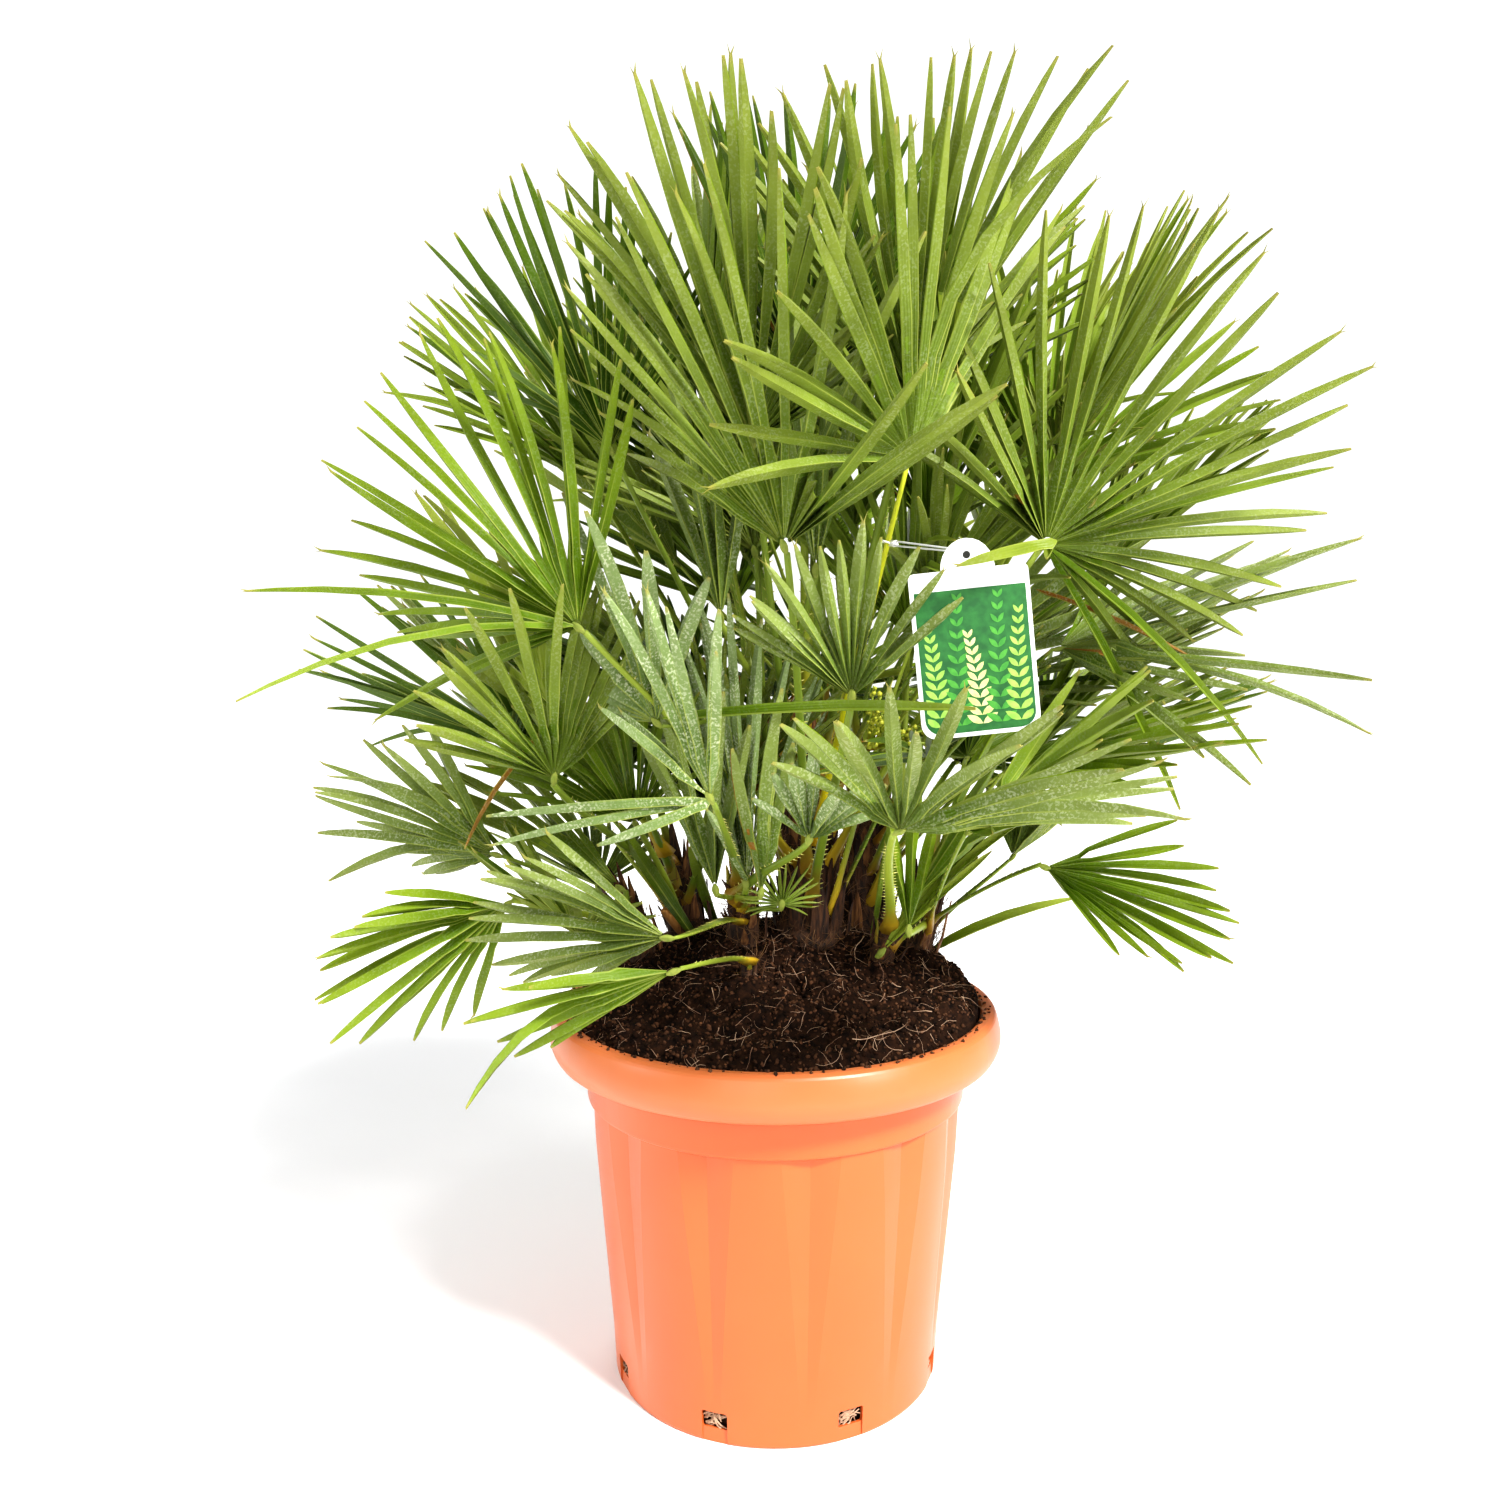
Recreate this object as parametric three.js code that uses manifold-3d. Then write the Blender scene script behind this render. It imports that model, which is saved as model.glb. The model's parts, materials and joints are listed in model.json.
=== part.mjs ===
// A european fan palm of several stems in a plastic nursery pot.
// Millimetres, +Z up. The origin is the middle of the pot's flat underside, and -Y is the front.
import * as THREE from "three";
import { mergeVertices } from "three/addons/utils/BufferGeometryUtils.js";
import Module from "manifold-3d";

const wasm = await Module();
wasm.setup();

const GAP = 0.3;
const FINEST = 0.02;
const FULL_TURN = 360;
const UP = new THREE.Vector3(0, 0, 1);

// Pot: a tapered bucket with a rolled rim, twelve wedge-shaped flutes and eight drain slots at its foot.
const POT = {
  footRadius: 117,
  bandRadius: 133,
  bandHeight: 204,
  bandStep: 1.6,
  rimUnder: 233,
  rimRadius: 160,
  rimTop: 266,
  mouthRadius: 146,
  floor: 3,
  flutes: 12,
  firstFlute: -80,
  fluteDepth: 2.4,
  fluteTopHalf: 8.5,
  fluteFootHalf: 2.5,
  fluteFoot: 30,
  slots: 8,
  firstSlot: -65,
  slotWidth: 18,
  slotLow: 10,
  slotHigh: 22,
  grooveDepth: 1.2,
  edge: 2,
};

// The rolled rim's corners, inward from its radius and up from its underside.
const RIM_CORNERS = [[11, 0], [4, 3], [0, 11], [0, 19], [3, 30], [7, 33]];

// The inner wall's corners, radius and height, from the floor to the mouth.
const INNER_WALL = [
  [113.5, POT.floor],
  [127, POT.bandHeight],
  [131, POT.rimUnder],
  [POT.mouthRadius, 250],
  [POT.mouthRadius, POT.rimTop - POT.edge],
];

// Soil: a mound that stands proud of the rim at the back, where the root ball is.
const SOIL = {
  peakX: 10,
  peakY: 45,
  peak: 308,
  fall: 46,
  reach: 191,
  power: 1.6,
  shoulder: 12,
  proud: 12,
  edge: 6,
  roughness: 2.5,
  columns: 30,
  rings: [0.35, 0.65, 0.92],
};

// Stems: foot x and y, height above the soil, lean x and y, radius at the foot and at the tip.
const STEMS = {
  trunk: [26, 36, 150, -4, 4, 22, 16],
  rear_trunk: [66, 84, 125, 10, 12, 18, 13],
  left_sucker: [-66, 72, 52, -12, 4, 15, 11],
  outer_sucker: [-98, 44, 40, -16, -4, 13, 9],
  front_shoot: [-22, 20, 48, -4, -10, 12, 8],
  right_sucker: [104, 52, 52, 12, 2, 14, 10],
  side_shoot: [74, 0, 26, 8, -10, 9, 7],
  small_shoot: [-18, -38, 14, 0, -4, 6, 5],
};
const STEM = { sides: 10, rings: 6, sunk: 8, flare: 1.3, flareHeight: 0.16, crown: 3 };

// Leaflets: width, thickness and fold in mm, the turn in degrees, the rest shares of the leaflet's length.
const LEAFLET = {
  width: 15,
  thick: 2.4,
  fold: 3.5,
  fill: 0.85,
  shoulder: 0.26,
  cup: 0.12,
  droop: 0.06,
  taper: 0.28,
  taperPower: 1.6,
  strayTurn: 1.2,
  strayLift: 0.06,
  shortest: 0.93,
  longest: 1.05,
};

// Petioles: radii, end and height over the soil in mm, the rest as a share of the petiole's reach or climb.
const PETIOLE = {
  hubRadius: 2.4,
  footRadius: 4.6,
  clear: 0.5,
  sides: 4,
  steps: 5,
  end: 4,
  overSoil: 15,
  sunk: 0.6,
  out: 0.2,
  leastClimb: 0.12,
  climb: 0.45,
  arrive: 0.25,
};
const HUB = { above: 1.5, below: 4, back: 12 };

// Where petioles leave their stem, as a share of its height, and a young leaf its leader's petiole.
const FEET = { lowest: 0.22, climb: 0.72, young: 0.86, follower: 0.3 };

// Fronds seen from the front: stem, hub x, y and z, heading, rise and roll of the blade, its spread,
// leaflets, length, and the share of the length in which the leaflets are joined.
const SHOWN = [
  ["trunk", 75, -170, 630, -60, 65, 30, 175, 14, 200, 0.22],
  ["trunk", 5, -190, 580, -125, 60, 0, 130, 12, 210, 0.22],
  ["trunk", -115, -150, 535, 180, 40, 60, 130, 13, 210, 0.22],
  ["trunk", 40, -230, 500, -95, 60, 10, 110, 10, 160, 0.22],
  ["side_shoot", 65, -240, 430, -50, 25, -20, 170, 13, 180, 0.22],
  ["outer_sucker", -180, -60, 350, -160, -30, 50, 110, 10, 165, 0.3],
  ["outer_sucker", -190, -40, 380, 175, 15, 50, 110, 10, 165, 0.3],
  ["front_shoot", -65, -150, 350, 170, 0, 60, 80, 8, 135, 0.3],
  ["small_shoot", -60, -170, 335, -165, -15, 50, 50, 5, 125, 0.4],
  ["left_sucker", -140, -100, 440, -60, 70, 20, 130, 11, 150, 0.22],
  ["right_sucker", 180, -60, 375, -20, -20, 40, 80, 8, 125, 0.25],
  ["front_shoot", -35, -220, 445, -130, 55, 0, 150, 11, 185, 0.22],
  ["trunk", 165, -110, 585, -30, 40, -50, 200, 15, 215, 0.2],
  ["trunk", 190, 10, 635, 60, 65, 20, 150, 13, 210, 0.22],
  ["rear_trunk", 190, -40, 520, -10, 10, 20, 130, 13, 200, 0.22],
  ["right_sucker", 155, -60, 440, -15, 15, 20, 110, 11, 160, 0.22],
];

// Younger and smaller leaves inside the crown, one group to a stem: every leaf after the first breaks out of
// the first one's petiole. Hub x, y and z, heading, rise, roll, spread, leaflets, length and joined share.
const YOUNG = {
  trunk: [
    [-35, -75, 540, -120, 80, 20, 30, 4, 200, 0.3],
    [25, -95, 570, -90, 85, 0, 26, 4, 220, 0.3],
    [-75, -95, 475, -150, 45, 30, 110, 9, 175, 0.22],
  ],
  rear_trunk: [
    [40, 40, 640, 60, 86, 0, 24, 4, 230, 0.3],
    [125, -10, 510, -20, 35, -20, 110, 9, 180, 0.22],
  ],
  left_sucker: [
    [-97, 22, 402, -150, 45, 40, 40, 6, 190, 0.6],
    [-110, -20, 370, -165, 30, 60, 50, 6, 160, 0.6],
    [-150, -40, 480, 170, 55, 30, 120, 9, 180, 0.22],
  ],
  front_shoot: [
    [-40, -60, 360, -110, 70, 20, 30, 4, 170, 0.3],
    [-10, -70, 360, -60, 75, 10, 28, 4, 150, 0.3],
    [20, -150, 410, -70, 60, -20, 110, 8, 150, 0.22],
  ],
  side_shoot: [
    [95, -40, 350, -20, 50, 30, 26, 4, 160, 0.5],
    [90, -50, 330, -80, 80, 0, 24, 3, 120, 0.4],
    [120, -120, 410, -40, 40, 20, 110, 8, 160, 0.22],
  ],
};

// Fronds in rings round a stem: stem, count, first heading, step, ring radius, hub height, rise of the blade,
// length, spread and leaflets. STRAY is how far each one strays from that.
const RINGS = [
  ["trunk", 6, 20, 60, 80, 682, 78, 205, 140, 13],
  ["trunk", 8, -10, 45, 172, 655, 58, 215, 155, 14],
  ["rear_trunk", 5, -10, 48, 165, 575, 45, 210, 150, 13],
  ["rear_trunk", 4, 10, 50, 160, 480, 20, 195, 150, 12],
  ["left_sucker", 3, 115, 48, 115, 450, 30, 190, 140, 11],
  ["right_sucker", 2, 15, 60, 105, 410, 20, 190, 140, 11],
];

const STRAY = { heading: 8, nearest: 0.9, farthest: 1.08, height: 16, rise: 10, roll: 35 };
const RING_JOINED = 0.22;

// Hang tag: a thin card with a round-cornered foot and a tab, tied to the petiole of the first frond.
const TAG = {
  x: 103,
  y: -240,
  z: 523,
  width: 62,
  height: 86,
  corner: 8,
  shoulder: 3,
  tabWidth: 28,
  tabHeight: 16,
  eye: 0.55,
  thick: 1.2,
  lean: 6,
  tie: 0.9,
  tieShare: 0.8,
  clear: 3,
  lines: 9,
};

// Tries for a frond's turn, its foot's place on the stem and its petiole's bow to the side, and for a
// leaflet's bend out of the blade and its length.
const TURNS = [0, 9, -9, 18, -18, 27, -27];
const LIFTS = [0, 0.07, -0.07, 0.14, -0.14, -0.28, -0.42];
const BOWS = [0, 14, -14, 28, -28, 42, -42];
const BENDS = [0, 4, -4, 8, -8, 12, -12, 17, -17, 22, -22];
const LENGTHS = [1, 0.8, 0.6, 0.45];
const STUB = 1.15;
const LEAF_CLEAR = 2.2;
const STEM_CLEAR = 3;
const STEM_PIECES = 4;
const SOIL_CLEAR = 6.4;
const RIM_CLEAR = 4;

const COLOURS = {
  pot: 0xf08a50,
  soil: 0x33241b,
  stem: 0x6b4a2c,
  frond: 0x6f8a2f,
  tag: 0x5f9a4a,
};

// Dice: a linear congruential generator, with a seed for each frond.
const DICE = { factor: 1664525, step: 1013904223, size: 2 ** 32 };
const SEEDS = { frond: 101, frondStep: 37, rings: 5, soil: 11 };

class Dice {
  constructor(seed) {
    this.state = seed;
  }

  span(low, high) {
    this.state = (this.state * DICE.factor + DICE.step) % DICE.size;
    return low + ((high - low) * this.state) / DICE.size;
  }
}

const radians = THREE.MathUtils.degToRad;

function polar(radius, degrees, z) {
  const angle = radians(degrees);
  return new THREE.Vector3(radius * Math.cos(angle), radius * Math.sin(angle), z);
}

// Unit vector with a heading round Z and a rise from level.
function towards(heading, rise) {
  return polar(Math.cos(radians(rise)), heading, Math.sin(radians(rise)));
}

function geometryOf(points, faces) {
  const numbers = points.flatMap((point) => point.toArray());
  const geometry = new THREE.BufferGeometry();
  geometry.setAttribute("position", new THREE.Float32BufferAttribute(numbers, 3));
  geometry.setIndex(faces.flat());
  return geometry;
}

// A closed skin over rings of points, with a point at each end. The rings turn anticlockwise from the end.
function loft(rings, start, end) {
  const sides = rings[0].length;
  const points = [start, ...rings.flat(), end];
  const faces = [];
  for (let side = 0; side < sides; side += 1) {
    const next = (side + 1) % sides;
    faces.push([0, 1 + next, 1 + side]);
    for (let ring = 0; ring + 1 < rings.length; ring += 1) {
      const low = 1 + ring * sides;
      const high = low + sides;
      faces.push([low + side, low + next, high + next], [low + side, high + next, high + side]);
    }
    const last = 1 + (rings.length - 1) * sides;
    faces.push([last + side, last + next, points.length - 1]);
  }
  return geometryOf(points, faces);
}

function solidOf(geometry) {
  const bare = geometry.clone();
  bare.deleteAttribute("normal");
  bare.deleteAttribute("uv");
  const merged = mergeVertices(bare, 1e-4);
  return new wasm.Manifold(
    new wasm.Mesh({
      numProp: 3,
      vertProperties: new Float32Array(merged.attributes.position.array),
      triVerts: new Uint32Array(merged.index.array),
    }),
  );
}

function meshOf(name, solid, colour, roughness) {
  const { vertProperties, triVerts } = solid.simplify(FINEST).getMesh();
  const geometry = new THREE.BufferGeometry();
  geometry.setAttribute("position", new THREE.BufferAttribute(new Float32Array(vertProperties), 3));
  geometry.setIndex(new THREE.BufferAttribute(new Uint32Array(triVerts), 1));
  geometry.computeVertexNormals();
  const material = new THREE.MeshStandardMaterial({ color: colour, roughness, metalness: 0 });
  const mesh = new THREE.Mesh(geometry, material);
  mesh.name = name;
  return mesh;
}

// Pot

// Radius and height of each corner, from the middle of the underside up the outside and down the inside.
function potProfile() {
  const { footRadius, bandRadius, bandHeight, rimUnder, rimRadius, rimTop, mouthRadius, edge } = POT;
  return [
    [0, 0],
    [footRadius - edge, 0],
    [footRadius, edge],
    [footRadius + 1.4, POT.fluteFoot],
    [bandRadius - 3, bandHeight * 0.8],
    [bandRadius - 1, bandHeight - 1],
    [bandRadius + POT.bandStep, bandHeight],
    [bandRadius + 3, rimUnder],
    ...RIM_CORNERS.map(([inward, up]) => [rimRadius - inward, rimUnder + up]),
    [mouthRadius + edge, rimTop],
    ...[...INNER_WALL].reverse(),
    [0, POT.floor],
  ].map(([radius, z]) => new THREE.Vector2(radius, z));
}

// Each flute has five columns of points: its two edges, two in its hollow and one halfway to the next flute.
const FLUTE_COLUMNS = [-1, -0.7, 0.7, 1];

function fluteShare(z) {
  return THREE.MathUtils.clamp((z - POT.fluteFoot) / (POT.bandHeight - POT.fluteFoot), 0, 1);
}

function fluteHalf(z) {
  return THREE.MathUtils.lerp(POT.fluteFootHalf, POT.fluteTopHalf, fluteShare(z));
}

function fluteDepth(z) {
  return z < POT.bandHeight ? POT.fluteDepth * fluteShare(z) : 0;
}

function makePotSolid() {
  const columns = POT.flutes * (FLUTE_COLUMNS.length + 1);
  const profile = potProfile();
  const outerCount = profile.findIndex((point) => point.y >= POT.bandHeight);
  const step = FULL_TURN / POT.flutes;
  const rings = profile.slice(1, -1).map((point, index) => {
    const ring = [];
    for (let column = 0; column < columns; column += 1) {
      const flute = Math.floor(column / (FLUTE_COLUMNS.length + 1));
      const place = column % (FLUTE_COLUMNS.length + 1);
      const centre = POT.firstFlute + flute * step;
      const between = place === FLUTE_COLUMNS.length;
      const half = index < outerCount ? fluteHalf(point.y) : POT.fluteTopHalf;
      const angle = between ? centre + step / 2 : centre + FLUTE_COLUMNS[place] * half;
      const hollow = !between && Math.abs(FLUTE_COLUMNS[place]) < 1 && index + 1 < outerCount;
      const depth = hollow ? fluteDepth(point.y) : 0;
      ring.push(polar(point.x - depth, angle, point.y));
    }
    return ring;
  });
  return solidOf(loft(rings, new THREE.Vector3(), new THREE.Vector3(0, 0, POT.floor)));
}

function slotCutter(degrees, inner, low, high) {
  const outer = POT.footRadius + 10;
  const box = new THREE.BoxGeometry(outer - inner, POT.slotWidth, high - low);
  box.translate((outer + inner) / 2, 0, (low + high) / 2);
  box.rotateZ(radians(degrees));
  return solidOf(box);
}

function makePot() {
  let solid = makePotSolid();
  for (let slot = 0; slot < POT.slots; slot += 1) {
    const degrees = POT.firstSlot + (slot * FULL_TURN) / POT.slots;
    solid = solid.subtract(slotCutter(degrees, INNER_WALL[0][0] - 10, POT.slotLow, POT.slotHigh));
    solid = solid.subtract(slotCutter(degrees, POT.footRadius - POT.grooveDepth, -1, POT.slotLow));
  }
  return solid;
}

// Soil

function soilHeight(x, y) {
  const out = Math.hypot(x - SOIL.peakX, y - SOIL.peakY) / SOIL.reach;
  return SOIL.peak - SOIL.fall * out ** SOIL.power;
}

function innerRadius(z) {
  const upper = INNER_WALL.findIndex(([, height]) => height >= z);
  const [lowRadius, low] = INNER_WALL[upper - 1];
  const [highRadius, high] = INNER_WALL[upper];
  return THREE.MathUtils.mapLinear(z, low, high, lowRadius, highRadius);
}

// The pot's wall is made of flats, so the soil keeps inside their middles.
function soilRadius(z) {
  const flat = Math.cos(radians(FULL_TURN / POT.flutes / 4));
  return innerRadius(z) * flat - GAP;
}

function makeSoil() {
  const dice = new Dice(SEEDS.soil);
  const ringAt = (radius, height) => {
    const ring = [];
    for (let column = 0; column < SOIL.columns; column += 1) {
      const point = polar(radius, (column * FULL_TURN) / SOIL.columns, 0);
      ring.push(point.setZ(height(point)));
    }
    return ring;
  };
  const low = POT.floor + GAP;
  const high = POT.rimTop - SOIL.shoulder;
  const wall = soilRadius(high);
  const bends = INNER_WALL.map(([, height]) => height).filter((height) => height > low && height < high);
  const rings = [
    ...[low, ...bends, high].map((height) => ringAt(soilRadius(height), () => height)),
    ringAt(wall, (p) => Math.min(soilHeight(p.x, p.y), POT.rimTop + SOIL.proud) - SOIL.edge),
  ];
  for (const share of [...SOIL.rings].reverse()) {
    const rough = () => dice.span(-SOIL.roughness, SOIL.roughness);
    rings.push(ringAt(wall * share, (p) => soilHeight(p.x, p.y) + rough()));
  }
  return solidOf(loft(rings, new THREE.Vector3(0, 0, low), new THREE.Vector3(0, 0, soilHeight(0, 0))));
}

// Stems

function stemLine(name) {
  const [x, y, height, leanX, leanY] = STEMS[name];
  const foot = new THREE.Vector3(x, y, soilHeight(x, y) - STEM.sunk);
  const tip = new THREE.Vector3(x + leanX, y + leanY, soilHeight(x, y) + height);
  return { foot, tip };
}

function stemRadius(name, share) {
  const [, , , , , footRadius, tipRadius] = STEMS[name];
  const flare = share < STEM.flareHeight ? STEM.flare - (STEM.flare - 1) * (share / STEM.flareHeight) : 1;
  return THREE.MathUtils.lerp(footRadius, tipRadius, share) * flare;
}

function makeStem(name, swell) {
  const { foot, tip } = stemLine(name);
  const rings = [];
  for (let ring = 0; ring < STEM.rings; ring += 1) {
    const share = ring / (STEM.rings - 1);
    const centre = foot.clone().lerp(tip, share);
    if (ring === 0) centre.z -= swell;
    if (ring === STEM.rings - 1) centre.z += swell;
    const points = [];
    for (let side = 0; side < STEM.sides; side += 1) {
      points.push(polar(stemRadius(name, share) + swell, (side * FULL_TURN) / STEM.sides, 0).add(centre));
    }
    rings.push(points);
  }
  const cap = tip.clone().setZ(tip.z + swell + STEM.crown);
  return solidOf(loft(rings, foot.clone().setZ(foot.z - swell), cap));
}

// Space taken by what stands already, as segments with a radius.
const taken = [];

function segment(p, q, radius, owner) {
  const box = new THREE.Box3().setFromPoints([p, q]).expandByScalar(radius);
  return { p, q, radius, owner, box };
}

// Shortest distance between two segments.
function distance(one, two) {
  const d1 = one.q.clone().sub(one.p);
  const d2 = two.q.clone().sub(two.p);
  const r = one.p.clone().sub(two.p);
  const a = d1.dot(d1);
  const e = d2.dot(d2);
  const b = d1.dot(d2);
  const c = d1.dot(r);
  const f = d2.dot(r);
  const clamp = THREE.MathUtils.clamp;
  const slope = a * e - b * b;
  const near = slope > 1e-9 ? clamp((b * f - c * e) / slope, 0, 1) : 0;
  const t = clamp((b * near + f) / e, 0, 1);
  const s = clamp((b * t - c) / a, 0, 1);
  return d1.multiplyScalar(s).add(one.p).distanceTo(d2.multiplyScalar(t).add(two.p));
}

function aboveGround(point) {
  const out = Math.hypot(point.x, point.y);
  if (out < POT.mouthRadius - RIM_CLEAR) return point.z > soilHeight(point.x, point.y) + SOIL_CLEAR;
  return out > POT.rimRadius + RIM_CLEAR || point.z > POT.rimTop + RIM_CLEAR;
}

function isFree(segments, stem = null) {
  for (const one of segments) {
    const middle = one.p.clone().lerp(one.q, 0.5);
    if (![one.p, middle, one.q].every(aboveGround)) return false;
    for (const two of taken) {
      if (one.owner === two.owner || two.owner === stem || !one.box.intersectsBox(two.box)) continue;
      if (distance(one, two) < one.radius + two.radius) return false;
    }
  }
  return true;
}

// Fronds

function bladeFrame(frond) {
  const roll = radians(frond.roll);
  const axis = towards(frond.heading, frond.rise);
  const flat = towards(frond.heading, frond.rise + 90);
  const across = flat.clone().cross(axis);
  const side = across.clone().multiplyScalar(Math.cos(roll)).addScaledVector(flat, Math.sin(roll));
  const normal = flat.clone().multiplyScalar(Math.cos(roll)).addScaledVector(across, -Math.sin(roll));
  return { axis, side, normal };
}

// The blade's leaflets before they give way to anything: direction, length and half width.
function planLeaflets(frond) {
  const { axis, side, normal } = frond.frame;
  const dice = new Dice(frond.seed);
  const step = radians(frond.spread) / (frond.leaflets - 1);
  const aim = (angle, lift) =>
    axis
      .clone()
      .multiplyScalar(Math.cos(angle))
      .addScaledVector(side, Math.sin(angle))
      .addScaledVector(normal, lift)
      .normalize();
  const leaflets = [];
  for (let index = 0; index < frond.leaflets; index += 1) {
    const place = index - (frond.leaflets - 1) / 2;
    const share = Math.abs(place / ((frond.leaflets - 1) / 2));
    const angle = place * step + radians(dice.span(-LEAFLET.strayTurn, LEAFLET.strayTurn));
    const direction = aim(angle, LEAFLET.cup + dice.span(-LEAFLET.strayLift, LEAFLET.strayLift));
    const tapered = frond.length * (1 - LEAFLET.taper * share ** LEAFLET.taperPower);
    leaflets.push({ direction, length: tapered * dice.span(LEAFLET.shortest, LEAFLET.longest) });
  }
  const valleys = [];
  for (let index = 0; index <= frond.leaflets; index += 1) {
    const place = index - frond.leaflets / 2;
    const low = leaflets[Math.max(index - 1, 0)].length;
    const high = leaflets[Math.min(index, frond.leaflets - 1)].length;
    const reach = Math.min(low, high) * frond.joined;
    valleys.push(aim(place * step, LEAFLET.cup).multiplyScalar(reach).add(frond.hub));
  }
  return { leaflets, valleys, step };
}

// The corners of one leaflet, bent out of the blade by some degrees and cut to a share of its length.
function leafletPoints(frond, index, bend, cut) {
  const { direction, length } = frond.plan.leaflets[index];
  const lean = radians(bend);
  const line = direction
    .clone()
    .multiplyScalar(Math.cos(lean))
    .addScaledVector(frond.frame.normal, Math.sin(lean))
    .normalize();
  const across = frond.frame.normal.clone().cross(line).normalize();
  const upper = line.clone().cross(across);
  const whole = length * cut;
  const root = length * frond.joined;
  const out = root + (whole - root) * LEAFLET.shoulder;
  const along = (reach) =>
    frond.hub
      .clone()
      .addScaledVector(line, reach)
      .addScaledVector(UP, (-LEAFLET.droop * reach * reach) / length);
  const half = Math.min(LEAFLET.width, LEAFLET.fill * out * frond.plan.step) / 2;
  const shoulder = along(out);
  const rib = shoulder.clone().addScaledVector(upper, -LEAFLET.fold * Math.min(1, cut * 2));
  return {
    tip: along(whole),
    low: shoulder.clone().addScaledVector(across, -half),
    high: shoulder.clone().addScaledVector(across, half),
    rib,
    keel: rib.clone().addScaledVector(upper, -LEAFLET.thick),
  };
}

function leafletSegments(frond, index, points) {
  const { valleys } = frond.plan;
  const core = points.rib.clone().lerp(points.keel, 0.5);
  const chain = (...corners) =>
    corners.slice(1).map((corner, place) => segment(corners[place], corner, LEAF_CLEAR, frond.node));
  return [
    ...chain(frond.hub, core, points.tip),
    ...chain(valleys[index], points.low, points.tip),
    ...chain(valleys[index + 1], points.high, points.tip),
  ];
}

// The joined foot of the blade, which can't give way.
function palmSegments(frond) {
  const { valleys, leaflets } = frond.plan;
  const roots = leaflets.map(({ direction, length }) =>
    direction.clone().multiplyScalar(length * frond.joined).add(frond.hub),
  );
  return [...valleys, ...roots].map((end) => segment(frond.hub, end, LEAF_CLEAR, frond.node));
}

function petioleStart(frond, leader) {
  if (leader) return leader.curve.getPoint(FEET.follower);
  const { foot, tip } = stemLine(frond.stem);
  const centre = foot.clone().lerp(tip, frond.footShare);
  const out = frond.hub.clone().sub(centre).setZ(0).normalize();
  return centre.addScaledVector(out, stemRadius(frond.stem, frond.footShare) * PETIOLE.sunk);
}

function petioleCurve(frond, bow, leader) {
  const start = petioleStart(frond, leader);
  const out = frond.hub.clone().sub(start).setZ(0).normalize();
  const across = UP.clone().cross(out).multiplyScalar(bow);
  const reach = frond.hub.distanceTo(start);
  const climb = Math.max(reach * PETIOLE.leastClimb, (frond.hub.z - start.z) * PETIOLE.climb);
  const rising = start.clone().addScaledVector(out, reach * PETIOLE.out).addScaledVector(UP, climb);
  const arriving = frond.hub.clone().addScaledVector(frond.frame.axis, -reach * PETIOLE.arrive).add(across);
  arriving.z = Math.max(arriving.z, soilHeight(arriving.x, arriving.y) + PETIOLE.overSoil);
  const end = frond.hub.clone().addScaledVector(frond.frame.axis, -PETIOLE.end);
  return new THREE.CubicBezierCurve3(start, rising.add(across), arriving, end);
}

function petioleRadius(share) {
  return THREE.MathUtils.lerp(PETIOLE.footRadius, PETIOLE.hubRadius, share);
}

function petioleSegments(frond, curve) {
  const points = curve.getPoints(PETIOLE.steps);
  const segments = [];
  for (let step = 0; step < PETIOLE.steps; step += 1) {
    const radius = petioleRadius(step / PETIOLE.steps) + PETIOLE.clear;
    segments.push(segment(points[step], points[step + 1], radius, frond.node));
  }
  return segments;
}

function claim(segments) {
  taken.push(...segments);
}

// Finds a place for a frond's petiole and palm, turning the frond a little where something stands in its way.
function seatFrond(frond, leader) {
  for (const turn of TURNS) {
    const turned = { ...frond, heading: frond.heading + turn };
    if (turn !== 0 && frond.ring) {
      const { foot } = stemLine(frond.stem);
      turned.hub = frond.hub.clone().sub(foot).applyAxisAngle(UP, radians(turn)).add(foot);
    }
    turned.frame = bladeFrame(turned);
    turned.plan = planLeaflets(turned);
    const palm = palmSegments(turned);
    if (!isFree(palm)) continue;
    for (const lift of LIFTS) {
      turned.footShare = Math.min(frond.footShare + lift, 1);
      for (const bow of BOWS) {
        const curve = petioleCurve(turned, bow, leader);
        const petiole = petioleSegments(turned, curve);
        if (!isFree(petiole, frond.stem)) continue;
        claim([...palm, ...petiole]);
        return { ...turned, curve };
      }
    }
  }
  return null;
}

function settleLeaflets(frond) {
  frond.corners = frond.plan.leaflets.map((_, index) => {
    for (const cut of LENGTHS) {
      for (const bend of BENDS) {
        const points = leafletPoints(frond, index, bend, cut);
        const segments = leafletSegments(frond, index, points);
        if (!isFree(segments)) continue;
        claim(segments);
        return points;
      }
    }
    return leafletPoints(frond, index, 0, frond.joined * STUB);
  });
}

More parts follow.
